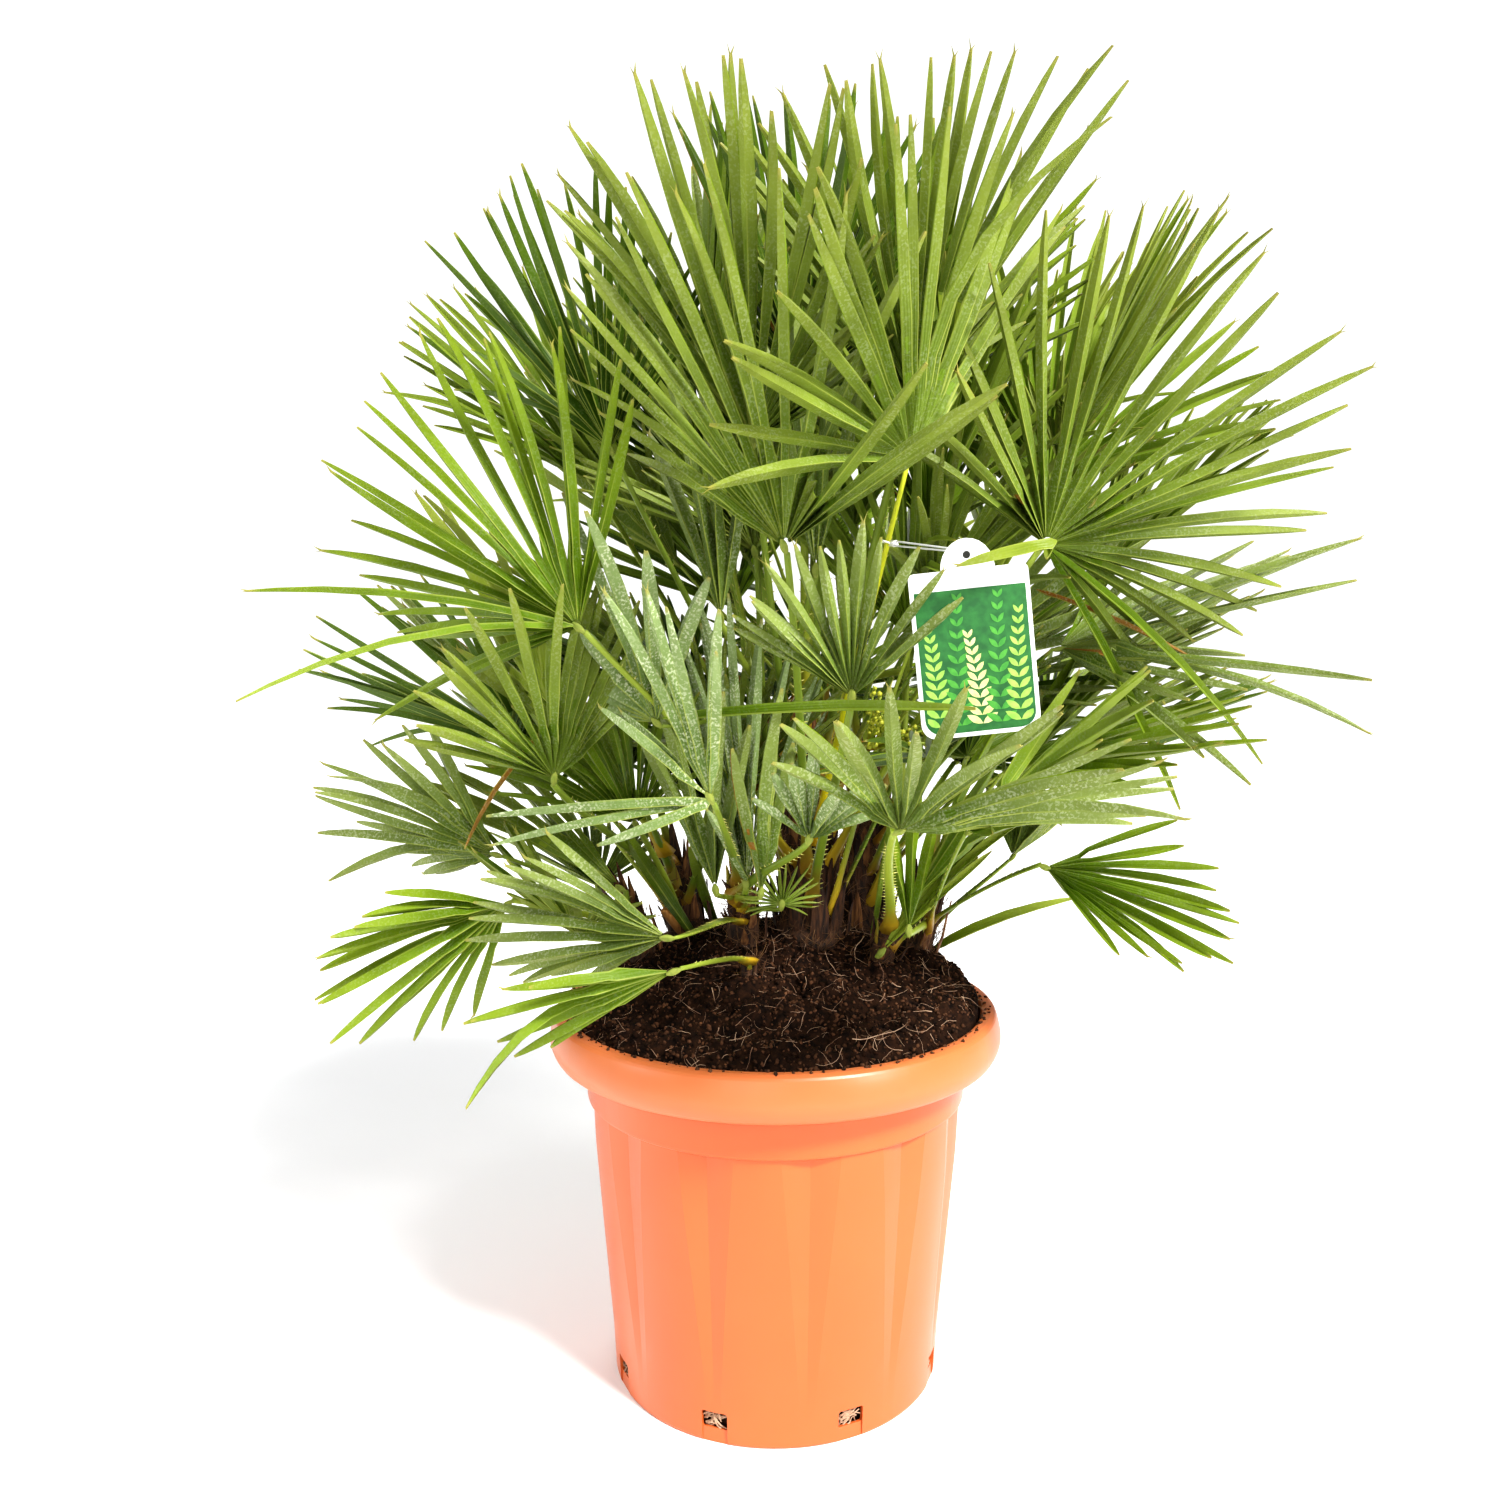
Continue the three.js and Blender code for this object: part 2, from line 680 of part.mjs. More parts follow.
function makeBlade(frond) {
  const { hub, frame, plan, corners } = frond;
  const points = [
    hub.clone().addScaledVector(frame.normal, HUB.above),
    hub.clone().addScaledVector(frame.normal, -HUB.below),
    hub.clone().addScaledVector(frame.axis, -HUB.back),
    ...plan.valleys,
  ];
  const [top, bottom, back, valley] = [0, 1, 2, 3];
  const last = valley + corners.length;
  const faces = [
    [top, back, valley],
    [top, last, back],
    [bottom, valley, back],
    [bottom, back, last],
  ];
  corners.forEach(({ low, tip, high, rib, keel }, index) => {
    const first = points.length;
    points.push(low, tip, high, rib, keel);
    const rim = [valley + index, first, first + 1, first + 2, valley + index + 1];
    for (const [middle, centre] of [[first + 3, top], [first + 4, bottom]]) {
      const loop = [centre, ...rim];
      loop.forEach((corner, place) => {
        const next = loop[(place + 1) % loop.length];
        faces.push(centre === top ? [middle, corner, next] : [middle, next, corner]);
      });
    }
  });
  return solidOf(geometryOf(points, faces));
}

function makeRod(curve, steps, sides, radiusAt) {
  const { normals, binormals } = curve.computeFrenetFrames(steps, false);
  const points = curve.getPoints(steps);
  const rings = points.map((point, step) => {
    const radius = radiusAt(step / steps);
    const ring = [];
    for (let side = 0; side < sides; side += 1) {
      const angle = (side * 2 * Math.PI) / sides;
      const spoke = normals[step].clone().multiplyScalar(radius * Math.cos(angle));
      ring.push(point.clone().add(spoke).addScaledVector(binormals[step], radius * Math.sin(angle)));
    }
    return ring;
  });
  return solidOf(loft(rings, points[0], points[steps]));
}

function makeFrond(frond) {
  return makeBlade(frond).add(makeRod(frond.curve, PETIOLE.steps, PETIOLE.sides, petioleRadius));
}

function makePlan(node, stem, numbers, seed) {
  const [x, y, z, heading, rise, roll, spread, leaflets, length, joined] = numbers;
  const hub = new THREE.Vector3(x, y, z);
  return { node, stem, hub, heading, rise, roll, spread, leaflets, length, joined, seed };
}

function planFronds() {
  const plans = [];
  const seed = () => SEEDS.frond + plans.length * SEEDS.frondStep;
  const label = (number) => `frond_${String(number).padStart(2, "0")}`;
  for (const [stem, ...numbers] of SHOWN) {
    plans.push(makePlan(label(plans.length + 1), stem, numbers, seed()));
  }
  for (const [stem, leaves] of Object.entries(YOUNG)) {
    leaves.forEach((numbers, index) => {
      const plan = makePlan(`young_leaves_${stem}`, stem, numbers, seed());
      plans.push({ ...plan, young: true, follows: index > 0 });
    });
  }
  const dice = new Dice(SEEDS.rings);
  const stray = (most) => dice.span(-most, most);
  let number = SHOWN.length;
  for (const [stem, count, first, step, radius, z, rise, length, spread, leaflets] of RINGS) {
    const { tip } = stemLine(stem);
    for (let place = 0; place < count; place += 1) {
      const heading = first + place * step + stray(STRAY.heading);
      const out = radius * dice.span(STRAY.nearest, STRAY.farthest);
      const hub = polar(out, heading, z + stray(STRAY.height));
      hub.add(tip.clone().setZ(0));
      const pose = [...hub.toArray(), heading, rise + stray(STRAY.rise), stray(STRAY.roll)];
      const blade = [spread, leaflets, length, RING_JOINED];
      number += 1;
      plans.push({ ...makePlan(label(number), stem, [...pose, ...blade], seed()), ring: true });
    }
  }
  return plans;
}

// Petiole feet climb each stem in the order of their hubs' height, and young leaves break from near its tip.
function setFeet(fronds) {
  for (const stem of Object.keys(STEMS)) {
    const own = fronds.filter((frond) => frond.stem === stem);
    const nodes = [...new Set(own.map((frond) => frond.node))];
    const height = (node) => own.find((frond) => frond.node === node).hub.z;
    nodes.sort((one, two) => height(one) - height(two));
    own.forEach((frond) => {
      const order = (nodes.indexOf(frond.node) + 1) / nodes.length;
      frond.footShare = frond.young ? FEET.young : FEET.lowest + FEET.climb * order;
    });
  }
}

// Hang tag

function tagPoint(x, z) {
  const lean = radians(TAG.lean);
  return new THREE.Vector3(
    TAG.x + x * Math.cos(lean) - z * Math.sin(lean),
    TAG.y,
    TAG.z + x * Math.sin(lean) + z * Math.cos(lean),
  );
}

function tagOutline() {
  const { width, height, corner, shoulder, tabWidth, tabHeight } = TAG;
  const [right, top, tab] = [width / 2, height / 2, tabWidth / 2];
  const outline = new THREE.Shape();
  outline.moveTo(-right + corner, -top);
  outline.lineTo(right - corner, -top);
  outline.quadraticCurveTo(right, -top, right, -top + corner);
  outline.lineTo(right, top - shoulder);
  outline.quadraticCurveTo(right, top, right - shoulder, top);
  outline.lineTo(tab, top);
  outline.quadraticCurveTo(tab, top + tabHeight, 0, top + tabHeight);
  outline.quadraticCurveTo(-tab, top + tabHeight, -tab, top);
  outline.lineTo(-right + shoulder, top);
  outline.quadraticCurveTo(-right, top, -right, top - shoulder);
  outline.lineTo(-right, -top + corner);
  outline.quadraticCurveTo(-right, -top, -right + corner, -top);
  return outline;
}

function tieCurve(frond) {
  const eye = tagPoint(0, TAG.height / 2 + TAG.tabHeight * TAG.eye);
  const held = frond.curve.getPoint(TAG.tieShare);
  const back = eye.clone().sub(held).normalize();
  return new THREE.LineCurve3(eye, held.addScaledVector(back, petioleRadius(TAG.tieShare) + TAG.tie + GAP));
}

function makeTag(frond) {
  const sheet = { depth: TAG.thick, bevelEnabled: false, curveSegments: 5 };
  const card = new THREE.ExtrudeGeometry(tagOutline(), sheet);
  card.translate(0, 0, -TAG.thick / 2);
  card.rotateX(Math.PI / 2);
  card.rotateY(-radians(TAG.lean));
  card.translate(TAG.x, TAG.y, TAG.z);
  return solidOf(card).add(makeRod(tieCurve(frond), 1, 4, () => TAG.tie));
}

function tagSegments() {
  const segments = [];
  for (let line = 0; line < TAG.lines; line += 1) {
    const x = (line / (TAG.lines - 1) - 0.5) * TAG.width;
    const [low, high] = [tagPoint(x, -TAG.height / 2), tagPoint(x, TAG.height / 2)];
    segments.push(segment(low, high, TAG.clear, "hang_tag"));
  }
  return segments;
}

// Everything is placed in one order: stems and tag, then petioles, then leaflets round them.

function claimStems() {
  for (const name of Object.keys(STEMS)) {
    const { foot, tip } = stemLine(name);
    for (let piece = 0; piece < STEM_PIECES; piece += 1) {
      const p = foot.clone().lerp(tip, piece / STEM_PIECES);
      const q = foot.clone().lerp(tip, (piece + 1) / STEM_PIECES);
      claim([segment(p, q, stemRadius(name, piece / STEM_PIECES) + STEM_CLEAR, name)]);
    }
  }
}

function seatFronds(plans) {
  const seated = [];
  for (const plan of plans) {
    const leader = plan.follows ? seated.find((frond) => frond.node === plan.node) : null;
    const frond = plan.follows && !leader ? null : seatFrond(plan, leader);
    if (frond) seated.push(frond);
  }
  return seated;
}

claimStems();
claim(tagSegments());
const planned = planFronds();
setFeet(planned);
const fronds = seatFronds(planned);
const tie = tieCurve(fronds[0]);
claim([segment(tie.v1, tie.v2, TAG.tie + 1, "hang_tag")]);
fronds.forEach(settleLeaflets);

const palm = new THREE.Group();
const swollen = Object.fromEntries(Object.keys(STEMS).map((name) => [name, makeStem(name, GAP)]));
const soil = Object.values(swollen).reduce((solid, stem) => solid.subtract(stem), makeSoil());
palm.add(meshOf("pot", makePot(), COLOURS.pot, 0.4));
palm.add(meshOf("soil", soil, COLOURS.soil, 1));
for (const name of Object.keys(STEMS)) {
  palm.add(meshOf(name, makeStem(name, 0), COLOURS.stem, 0.9));
}
const foliage = new Map();
for (const frond of fronds) {
  const solid = makeFrond(frond).subtract(swollen[frond.stem]);
  const joined = foliage.get(frond.node);
  foliage.set(frond.node, joined ? joined.add(solid) : solid);
}
for (const [node, solid] of foliage) {
  palm.add(meshOf(node, solid, COLOURS.frond, 0.6));
}
palm.add(meshOf("hang_tag", makeTag(fronds[0]), COLOURS.tag, 0.5));

export default palm;
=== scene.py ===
"""A european fan palm of several stems in a plastic nursery pot."""
import json
import math

import bmesh
import bpy
import numpy as np
from mathutils import Euler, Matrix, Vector, noise

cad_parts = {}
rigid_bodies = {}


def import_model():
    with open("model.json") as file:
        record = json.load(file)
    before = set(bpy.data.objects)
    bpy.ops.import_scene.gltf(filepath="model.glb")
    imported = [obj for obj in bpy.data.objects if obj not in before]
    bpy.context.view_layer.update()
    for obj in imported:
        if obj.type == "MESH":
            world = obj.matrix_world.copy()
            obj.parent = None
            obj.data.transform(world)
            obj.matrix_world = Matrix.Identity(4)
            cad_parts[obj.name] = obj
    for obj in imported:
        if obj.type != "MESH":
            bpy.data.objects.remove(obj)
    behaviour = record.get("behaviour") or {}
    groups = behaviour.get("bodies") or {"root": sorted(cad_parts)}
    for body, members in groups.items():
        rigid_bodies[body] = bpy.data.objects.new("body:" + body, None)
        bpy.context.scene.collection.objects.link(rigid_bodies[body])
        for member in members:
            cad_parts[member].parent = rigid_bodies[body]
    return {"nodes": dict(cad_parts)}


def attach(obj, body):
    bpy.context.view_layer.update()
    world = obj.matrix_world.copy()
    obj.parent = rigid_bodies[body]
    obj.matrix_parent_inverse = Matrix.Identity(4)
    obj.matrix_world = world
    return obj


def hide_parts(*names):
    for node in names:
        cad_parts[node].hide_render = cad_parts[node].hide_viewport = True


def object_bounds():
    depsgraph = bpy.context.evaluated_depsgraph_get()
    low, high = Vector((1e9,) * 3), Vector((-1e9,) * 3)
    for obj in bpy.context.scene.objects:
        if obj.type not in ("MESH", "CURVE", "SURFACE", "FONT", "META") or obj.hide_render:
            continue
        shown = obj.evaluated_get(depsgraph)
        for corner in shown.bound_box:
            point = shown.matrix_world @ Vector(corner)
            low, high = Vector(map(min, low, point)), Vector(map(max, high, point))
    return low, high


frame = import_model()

CAD_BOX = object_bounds()
MM = 0.001
FULL_TURN = 360
UP = np.array([0.0, 0.0, 1.0])

# The palm's own rule, in millimetres, as its solids follow it.

POT = {
    "foot_radius": 117, "band_height": 204, "rim_under": 233, "rim_radius": 160, "rim_top": 266,
    "mouth_radius": 146, "flutes": 12, "first_flute": -80, "flute_top_half": 8.5, "flute_foot_half": 2.5,
    "flute_foot": 30, "slots": 8, "first_slot": -65, "slot_width": 18, "slot_low": 10, "slot_high": 22,
    "groove_depth": 1.2,
}
SOIL = {
    "peak_x": 10, "peak_y": 45, "peak": 308, "fall": 46, "reach": 191, "power": 1.6, "proud": 12, "edge": 6,
}
# Each stem's foot, height above the soil, lean, and radius at its foot and its tip.
STEMS = {
    "trunk": (26, 36, 150, -4, 4, 22, 16),
    "rear_trunk": (66, 84, 125, 10, 12, 18, 13),
    "left_sucker": (-66, 72, 52, -12, 4, 15, 11),
    "outer_sucker": (-98, 44, 40, -16, -4, 13, 9),
    "front_shoot": (-22, 20, 48, -4, -10, 12, 8),
    "right_sucker": (104, 52, 52, 12, 2, 14, 10),
    "side_shoot": (74, 0, 26, 8, -10, 9, 7),
    "small_shoot": (-18, -38, 14, 0, -4, 6, 5),
}
STEM = {"sunk": 8, "flare": 1.3, "flare_height": 0.16}
LEAFLET = {
    "width": 15, "thick": 2.4, "fold": 3.5, "fill": 0.85, "shoulder": 0.26, "cup": 0.12, "droop": 0.06,
    "taper": 0.28, "taper_power": 1.6, "stray_turn": 1.2, "stray_lift": 0.06, "shortest": 0.93,
    "longest": 1.05,
}
PETIOLE = {
    "hub_radius": 2.4, "foot_radius": 4.6, "clear": 0.5, "steps": 5, "end": 4, "over_soil": 15, "sunk": 0.6,
    "out": 0.2, "least_climb": 0.12, "climb": 0.45, "arrive": 0.25,
}
FEET = {"lowest": 0.22, "climb": 0.72, "young": 0.86, "follower": 0.3}
# The fans that show: the stem, the hub, heading, rise, roll, spread, leaflets, length and joined share.
SHOWN = [
    ("trunk", 75, -170, 630, -60, 65, 30, 175, 14, 200, 0.22),
    ("trunk", 5, -190, 580, -125, 60, 0, 130, 12, 210, 0.22),
    ("trunk", -115, -150, 535, 180, 40, 60, 130, 13, 210, 0.22),
    ("trunk", 40, -230, 500, -95, 60, 10, 110, 10, 160, 0.22),
    ("side_shoot", 65, -240, 430, -50, 25, -20, 170, 13, 180, 0.22),
    ("outer_sucker", -180, -60, 350, -160, -30, 50, 110, 10, 165, 0.3),
    ("outer_sucker", -190, -40, 380, 175, 15, 50, 110, 10, 165, 0.3),
    ("front_shoot", -65, -150, 350, 170, 0, 60, 80, 8, 135, 0.3),
    ("small_shoot", -60, -170, 335, -165, -15, 50, 50, 5, 125, 0.4),
    ("left_sucker", -140, -100, 440, -60, 70, 20, 130, 11, 150, 0.22),
    ("right_sucker", 180, -60, 375, -20, -20, 40, 80, 8, 125, 0.25),
    ("front_shoot", -35, -220, 445, -130, 55, 0, 150, 11, 185, 0.22),
    ("trunk", 165, -110, 585, -30, 40, -50, 200, 15, 215, 0.2),
    ("trunk", 190, 10, 635, 60, 65, 20, 150, 13, 210, 0.22),
    ("rear_trunk", 190, -40, 520, -10, 10, 20, 130, 13, 200, 0.22),
    ("right_sucker", 155, -60, 440, -15, 15, 20, 110, 11, 160, 0.22),
]
YOUNG = {
    "trunk": [
        (-35, -75, 540, -120, 80, 20, 30, 4, 200, 0.3),
        (25, -95, 570, -90, 85, 0, 26, 4, 220, 0.3),
        (-75, -95, 475, -150, 45, 30, 110, 9, 175, 0.22),
    ],
    "rear_trunk": [
        (40, 40, 640, 60, 86, 0, 24, 4, 230, 0.3),
        (125, -10, 510, -20, 35, -20, 110, 9, 180, 0.22),
    ],
    "left_sucker": [
        (-97, 22, 402, -150, 45, 40, 40, 6, 190, 0.6),
        (-110, -20, 370, -165, 30, 60, 50, 6, 160, 0.6),
        (-150, -40, 480, 170, 55, 30, 120, 9, 180, 0.22),
    ],
    "front_shoot": [
        (-40, -60, 360, -110, 70, 20, 30, 4, 170, 0.3),
        (-10, -70, 360, -60, 75, 10, 28, 4, 150, 0.3),
        (20, -150, 410, -70, 60, -20, 110, 8, 150, 0.22),
    ],
    "side_shoot": [
        (95, -40, 350, -20, 50, 30, 26, 4, 160, 0.5),
        (90, -50, 330, -80, 80, 0, 24, 3, 120, 0.4),
        (120, -120, 410, -40, 40, 20, 110, 8, 160, 0.22),
    ],
}
# Fans in rings: the stem, count, first heading, step, radius, height, rise, length, spread and leaflets.
RINGS = [
    ("trunk", 6, 20, 60, 80, 682, 78, 205, 140, 13),
    ("trunk", 8, -10, 45, 172, 655, 58, 215, 155, 14),
    ("rear_trunk", 5, -10, 48, 165, 575, 45, 210, 150, 13),
    ("rear_trunk", 4, 10, 50, 160, 480, 20, 195, 150, 12),
    ("left_sucker", 3, 115, 48, 115, 450, 30, 190, 140, 11),
    ("right_sucker", 2, 15, 60, 105, 410, 20, 190, 140, 11),
]
INNER_RINGS = [
    ("trunk", 7, 0, 51, 60, 600, 70, 185, 150, 13),
    ("trunk", 8, 24, 45, 95, 655, 72, 190, 140, 13),
    ("trunk", 9, 5, 40, 135, 630, 50, 185, 150, 13),
    ("rear_trunk", 7, 30, 51, 110, 600, 55, 190, 140, 12),
    ("trunk", 8, 15, 45, 110, 560, 45, 175, 160, 13),
    ("trunk", 7, 30, 51, 100, 490, 20, 165, 160, 12),
    ("rear_trunk", 7, 0, 51, 90, 540, 60, 180, 150, 12),
    ("rear_trunk", 7, 20, 51, 120, 430, 10, 150, 150, 11),
    ("left_sucker", 5, 80, 60, 80, 400, 45, 150, 140, 11),
    ("right_sucker", 4, -40, 60, 70, 370, 40, 150, 140, 10),
    ("outer_sucker", 3, 120, 60, 60, 330, 30, 130, 130, 9),
    ("trunk", 8, 40, 45, 85, 665, 74, 200, 110, 11),
    ("trunk", 6, 10, 60, 150, 620, 60, 195, 120, 12),
    ("rear_trunk", 6, 20, 60, 90, 650, 70, 200, 120, 11),
]
INNER = {"width": 11, "clear": 1.2}
# Fans that only the scene has: the stem, a fan's numbers as above, leaflet width and arch.
EXTRA = [
    ("front_shoot", (-20, -50, 362, -100, 82, 8, 46, 8, 205, 0.2), 14, 0.03),
    ("front_shoot", (4, -34, 344, -80, 68, 0, 230, 11, 34, 0.2), 4, 0.0),
    ("outer_sucker", (-113, 20, 344, 190, 34, 60, 34, 5, 175, 0.35), 17, 0.05),
    ("right_sucker", (74, -20, 306, -8, 52, 60, 18, 4, 165, 0.45), 13, 0.04),
]
EXTRA_FOOT = 0.6
# Fans with shorter leaflets: shares of their length from one side to the other. Young leaves share a node,
# so their key ends in the fan's count of leaflets.
TRIMMED = {
    "frond_03": (0.95, 0.88, 1, 1),
    "frond_04": (0.62, 0.6, 0.62),
    "frond_05": (0.72, 0.8, 0.72, 0.9, 1),
    "frond_06": (0.85, 0.78),
    "frond_07": (0.86, 0.86),
    "frond_12": (0.8, 0.72, 0.72),
    "frond_13": (1, 1, 0.92, 0.92),
    "frond_23": (0.9, 0.9),
    "frond_27": (0.86, 0.86),
    "frond_28": (0.84, 0.84),
    "frond_31": (0.88, 0.88),
    "young_leaves_front_shoot_8": (0.42, 0.46),
}
# Fans with leaflets missing: the shares of their width that stay.
KEPT = {"frond_12": ((0, 0.1), (0.42, 0.74))}
# Lone leaves: start, end, width and arch. A start without a height stands in the soil.
STRAPS = {
    "drooping": [
        ((165, -110, 585), (318, -112, 474), 9, 0.06),
        ((165, -110, 585), (262, -110, 434), 8, 0.05),
        ((165, -110, 585), (352, -84, 648), 9, 0.05),
        ((-116, -152, 536), (-300, -150, 584), 9, 0.04),
        ((-116, -152, 536), (-294, -158, 546), 8, 0.03),
        ((-63, -206, 486), (97, -277, 512), 11, 0.02),
    ],
    "silvered": [
        ((-20, -52, 364), (-41, -111, 429), 12, 0.0),
        ((-40, -110, 428), (-180, -112, 428), 12, 0.04),
        ((-40, -109, 427), (-178, -108, 410), 11, 0.03),
        ((-39, -112, 429), (-108, -120, 398), 13, -0.12),
    ],
    "dried": [((169, -60, 559), (272, -64, 526), 6, 0.04), ((-150, -60, 470), (-212, -84, 408), 6, 0.1)],
    "shoots": [
        ((-46, 96, None), (-70, 30, 386), 15, 0.04),
        ((72, 60, None), (78, 8, 380), 11, 0.02),
        ((84, 36, None), (135, -12, 382), 17, 0.05),
        ((-60, 60, None), (-120, -10, 410), 15, 0.06),
    ],
    "lying": [
        ((120, 70, None), (198, 14, 352), 13, 0.22),
        ((165, -110, 584), (141, -247, 579), 8, 0.0),
        ((143, -246, 580), (92, -255, 572), 11, 0.0),
    ],
}
STRAY = {"heading": 8, "nearest": 0.9, "farthest": 1.08, "height": 16, "rise": 10, "roll": 35}
RING_JOINED = 0.22
TAG = {
    "x": 103, "y": -240, "z": 523, "width": 62, "height": 86, "corner": 8, "shoulder": 3, "tab_width": 28,
    "tab_height": 16, "eye": 0.55, "thick": 1.2, "lean": 6, "tie": 0.9, "tie_share": 0.8, "tie_gap": 0.3,
    "tie_clear": 1, "clear": 3, "lines": 9,
}
TURNS = (0, 9, -9, 18, -18, 27, -27)
LIFTS = (0, 0.07, -0.07, 0.14, -0.14, -0.28, -0.42)
BOWS = (0, 14, -14, 28, -28, 42, -42)
BENDS = (0, 4, -4, 8, -8, 12, -12, 17, -17, 22, -22)
LENGTHS = (1, 0.8, 0.6, 0.45)
STUB = 1.15
LEAF_CLEAR = 2.2
STEM_CLEAR = 3
STEM_PIECES = 4
SOIL_CLEAR = 6.4
RIM_CLEAR = 4
DICE = {"factor": 1664525, "step": 1013904223, "size": 2**32}
SEEDS = {
    "frond": 101, "frond_step": 37, "rings": 5, "tints": 7, "kinds": 23, "kinds_step": 97, "inner": 11,
    "extra": 41, "scales": 61,
}


class Dice:
    """The same dice as the solids are grown with."""

    def __init__(self, seed):
        self.state = seed

    def span(self, low, high):
        self.state = (self.state * DICE["factor"] + DICE["step"]) % DICE["size"]
        return low + ((high - low) * self.state) / DICE["size"]

    def pick(self, items):
        return items[int(self.span(0, len(items) - 1e-6))]


def unit(vector):
    return vector / np.linalg.norm(vector)


def mix(low, high, share):
    return low + (high - low) * share


def smooth(share):
    share = min(max(share, 0.0), 1.0)
    return share * share * (3 - 2 * share)


def polar(radius, degrees, z=0.0):
    angle = math.radians(degrees)
    return np.array([radius * math.cos(angle), radius * math.sin(angle), z])


def towards(heading, rise):
    """Unit vector with a heading round Z and a rise from level."""
    return polar(math.cos(math.radians(rise)), heading, math.sin(math.radians(rise)))


def turned_about(vector, axis, degrees):
    angle = math.radians(degrees)
    flat = axis * np.dot(axis, vector) * (1 - math.cos(angle))
    return vector * math.cos(angle) + np.cross(axis, vector) * math.sin(angle) + flat


def soil_height(x, y):
    out = np.hypot(x - SOIL["peak_x"], y - SOIL["peak_y"]) / SOIL["reach"]
    return SOIL["peak"] - SOIL["fall"] * out ** SOIL["power"]


def stem_line(name):
    x, y, height, lean_x, lean_y, _, _ = STEMS[name]
    ground = soil_height(x, y)
    return np.array([x, y, ground - STEM["sunk"]]), np.array([x + lean_x, y + lean_y, ground + height])


def stem_radius(name, share):
    foot_radius, tip_radius = STEMS[name][5:]
    flare = 1
    if share < STEM["flare_height"]:
        flare = STEM["flare"] - (STEM["flare"] - 1) * (share / STEM["flare_height"])
    return mix(foot_radius, tip_radius, share) * flare


def segment(p, q, radius, owner):
    return np.concatenate([p, q, [radius]]), owner


class Space:
    """What is taken already, as segments with a radius and an owner."""

    def __init__(self):
        self.rows = []
        self.owners = []

    def claim(self, segments):
        for row, owner in segments:
            self.rows.append(row)
            self.owners.append(owner)

    def others(self, *owners):
        return np.array([row for row, owner in zip(self.rows, self.owners) if owner not in owners])


def near(rows, low, high):
    """The rows that reach into a box."""
    ends = rows[:, :6].reshape(-1, 2, 3)
    radius = rows[:, 6:]
    reach_in = (ends.min(1) - radius <= high) & (ends.max(1) + radius >= low)
    return rows[reach_in.all(axis=1)]


def above_ground(points):
    out = np.hypot(points[:, 0], points[:, 1])
    over_soil = points[:, 2] > soil_height(points[:, 0], points[:, 1]) + SOIL_CLEAR
    past_rim = (out > POT["rim_radius"] + RIM_CLEAR) | (points[:, 2] > POT["rim_top"] + RIM_CLEAR)
    return np.where(out < POT["mouth_radius"] - RIM_CLEAR, over_soil, past_rim)


def distances(one, two):
    """Shortest distance between each segment of one and each of two."""
    p1, q1 = one[:, None, 0:3], one[:, None, 3:6]
    p2, q2 = two[None, :, 0:3], two[None, :, 3:6]
    d1, d2, r = q1 - p1, q2 - p2, p1 - p2
    a, e, b = (d1 * d1).sum(2), (d2 * d2).sum(2), (d1 * d2).sum(2)
    c, f = (d1 * r).sum(2), (d2 * r).sum(2)
    slope = a * e - b * b
    with np.errstate(divide="ignore", invalid="ignore"):
        s = np.where(slope > 1e-9, np.clip((b * f - c * e) / slope, 0, 1), 0)
    t = np.clip((b * s + f) / e, 0, 1)
    s = np.clip((b * t - c) / a, 0, 1)
    return np.linalg.norm(r + d1 * s[..., None] - d2 * t[..., None], axis=2)


def is_free(segments, rows):
    mine = np.array([row for row, _ in segments])
    p, q, radius = mine[:, 0:3], mine[:, 3:6], mine[:, 6:]
    if not above_ground(np.concatenate([p, (p + q) / 2, q])).all():
        return False
    close = near(rows, (np.minimum(p, q) - radius).min(0), (np.maximum(p, q) + radius).max(0))
    return not (distances(mine, close) < radius + close[:, 6]).any()


def blade_frame(frond):
    axis = towards(frond["heading"], frond["rise"])
    flat = towards(frond["heading"], frond["rise"] + 90)
    across = np.cross(flat, axis)
    roll = math.radians(frond["roll"])
    side = across * math.cos(roll) + flat * math.sin(roll)
    normal = flat * math.cos(roll) - across * math.sin(roll)
    return {"axis": axis, "side": side, "normal": normal}


def aim(shape, angle, lift):
    return unit(shape["axis"] * math.cos(angle) + shape["side"] * math.sin(angle) + shape["normal"] * lift)


def plan_leaflets(frond):
    dice = Dice(frond["seed"])
    count = frond["leaflets"]
    step = math.radians(frond["spread"]) / (count - 1)
    leaflets = []
    for index in range(count):
        place = index - (count - 1) / 2
        share = abs(place / ((count - 1) / 2))
        angle = place * step + math.radians(dice.span(-LEAFLET["stray_turn"], LEAFLET["stray_turn"]))
        lift = LEAFLET["cup"] + dice.span(-LEAFLET["stray_lift"], LEAFLET["stray_lift"])
        tapered = frond["length"] * (1 - LEAFLET["taper"] * share ** LEAFLET["taper_power"])
        length = tapered * dice.span(LEAFLET["shortest"], LEAFLET["longest"])
        leaflets.append((aim(frond["frame"], angle, lift), length))
    valleys = []
    for index in range(count + 1):
        reach = min(leaflets[max(index - 1, 0)][1], leaflets[min(index, count - 1)][1]) * frond["joined"]
        valleys.append(frond["hub"] + aim(frond["frame"], (index - count / 2) * step, LEAFLET["cup"]) * reach)
    return {"leaflets": leaflets, "valleys": valleys, "step": step}


def bent_line(frond, index, bend):
    direction, length = frond["plan"]["leaflets"][index]
    lean = math.radians(bend)
    line = unit(direction * math.cos(lean) + frond["frame"]["normal"] * math.sin(lean))
    across = unit(np.cross(frond["frame"]["normal"], line))
    return line, across, np.cross(line, across), length


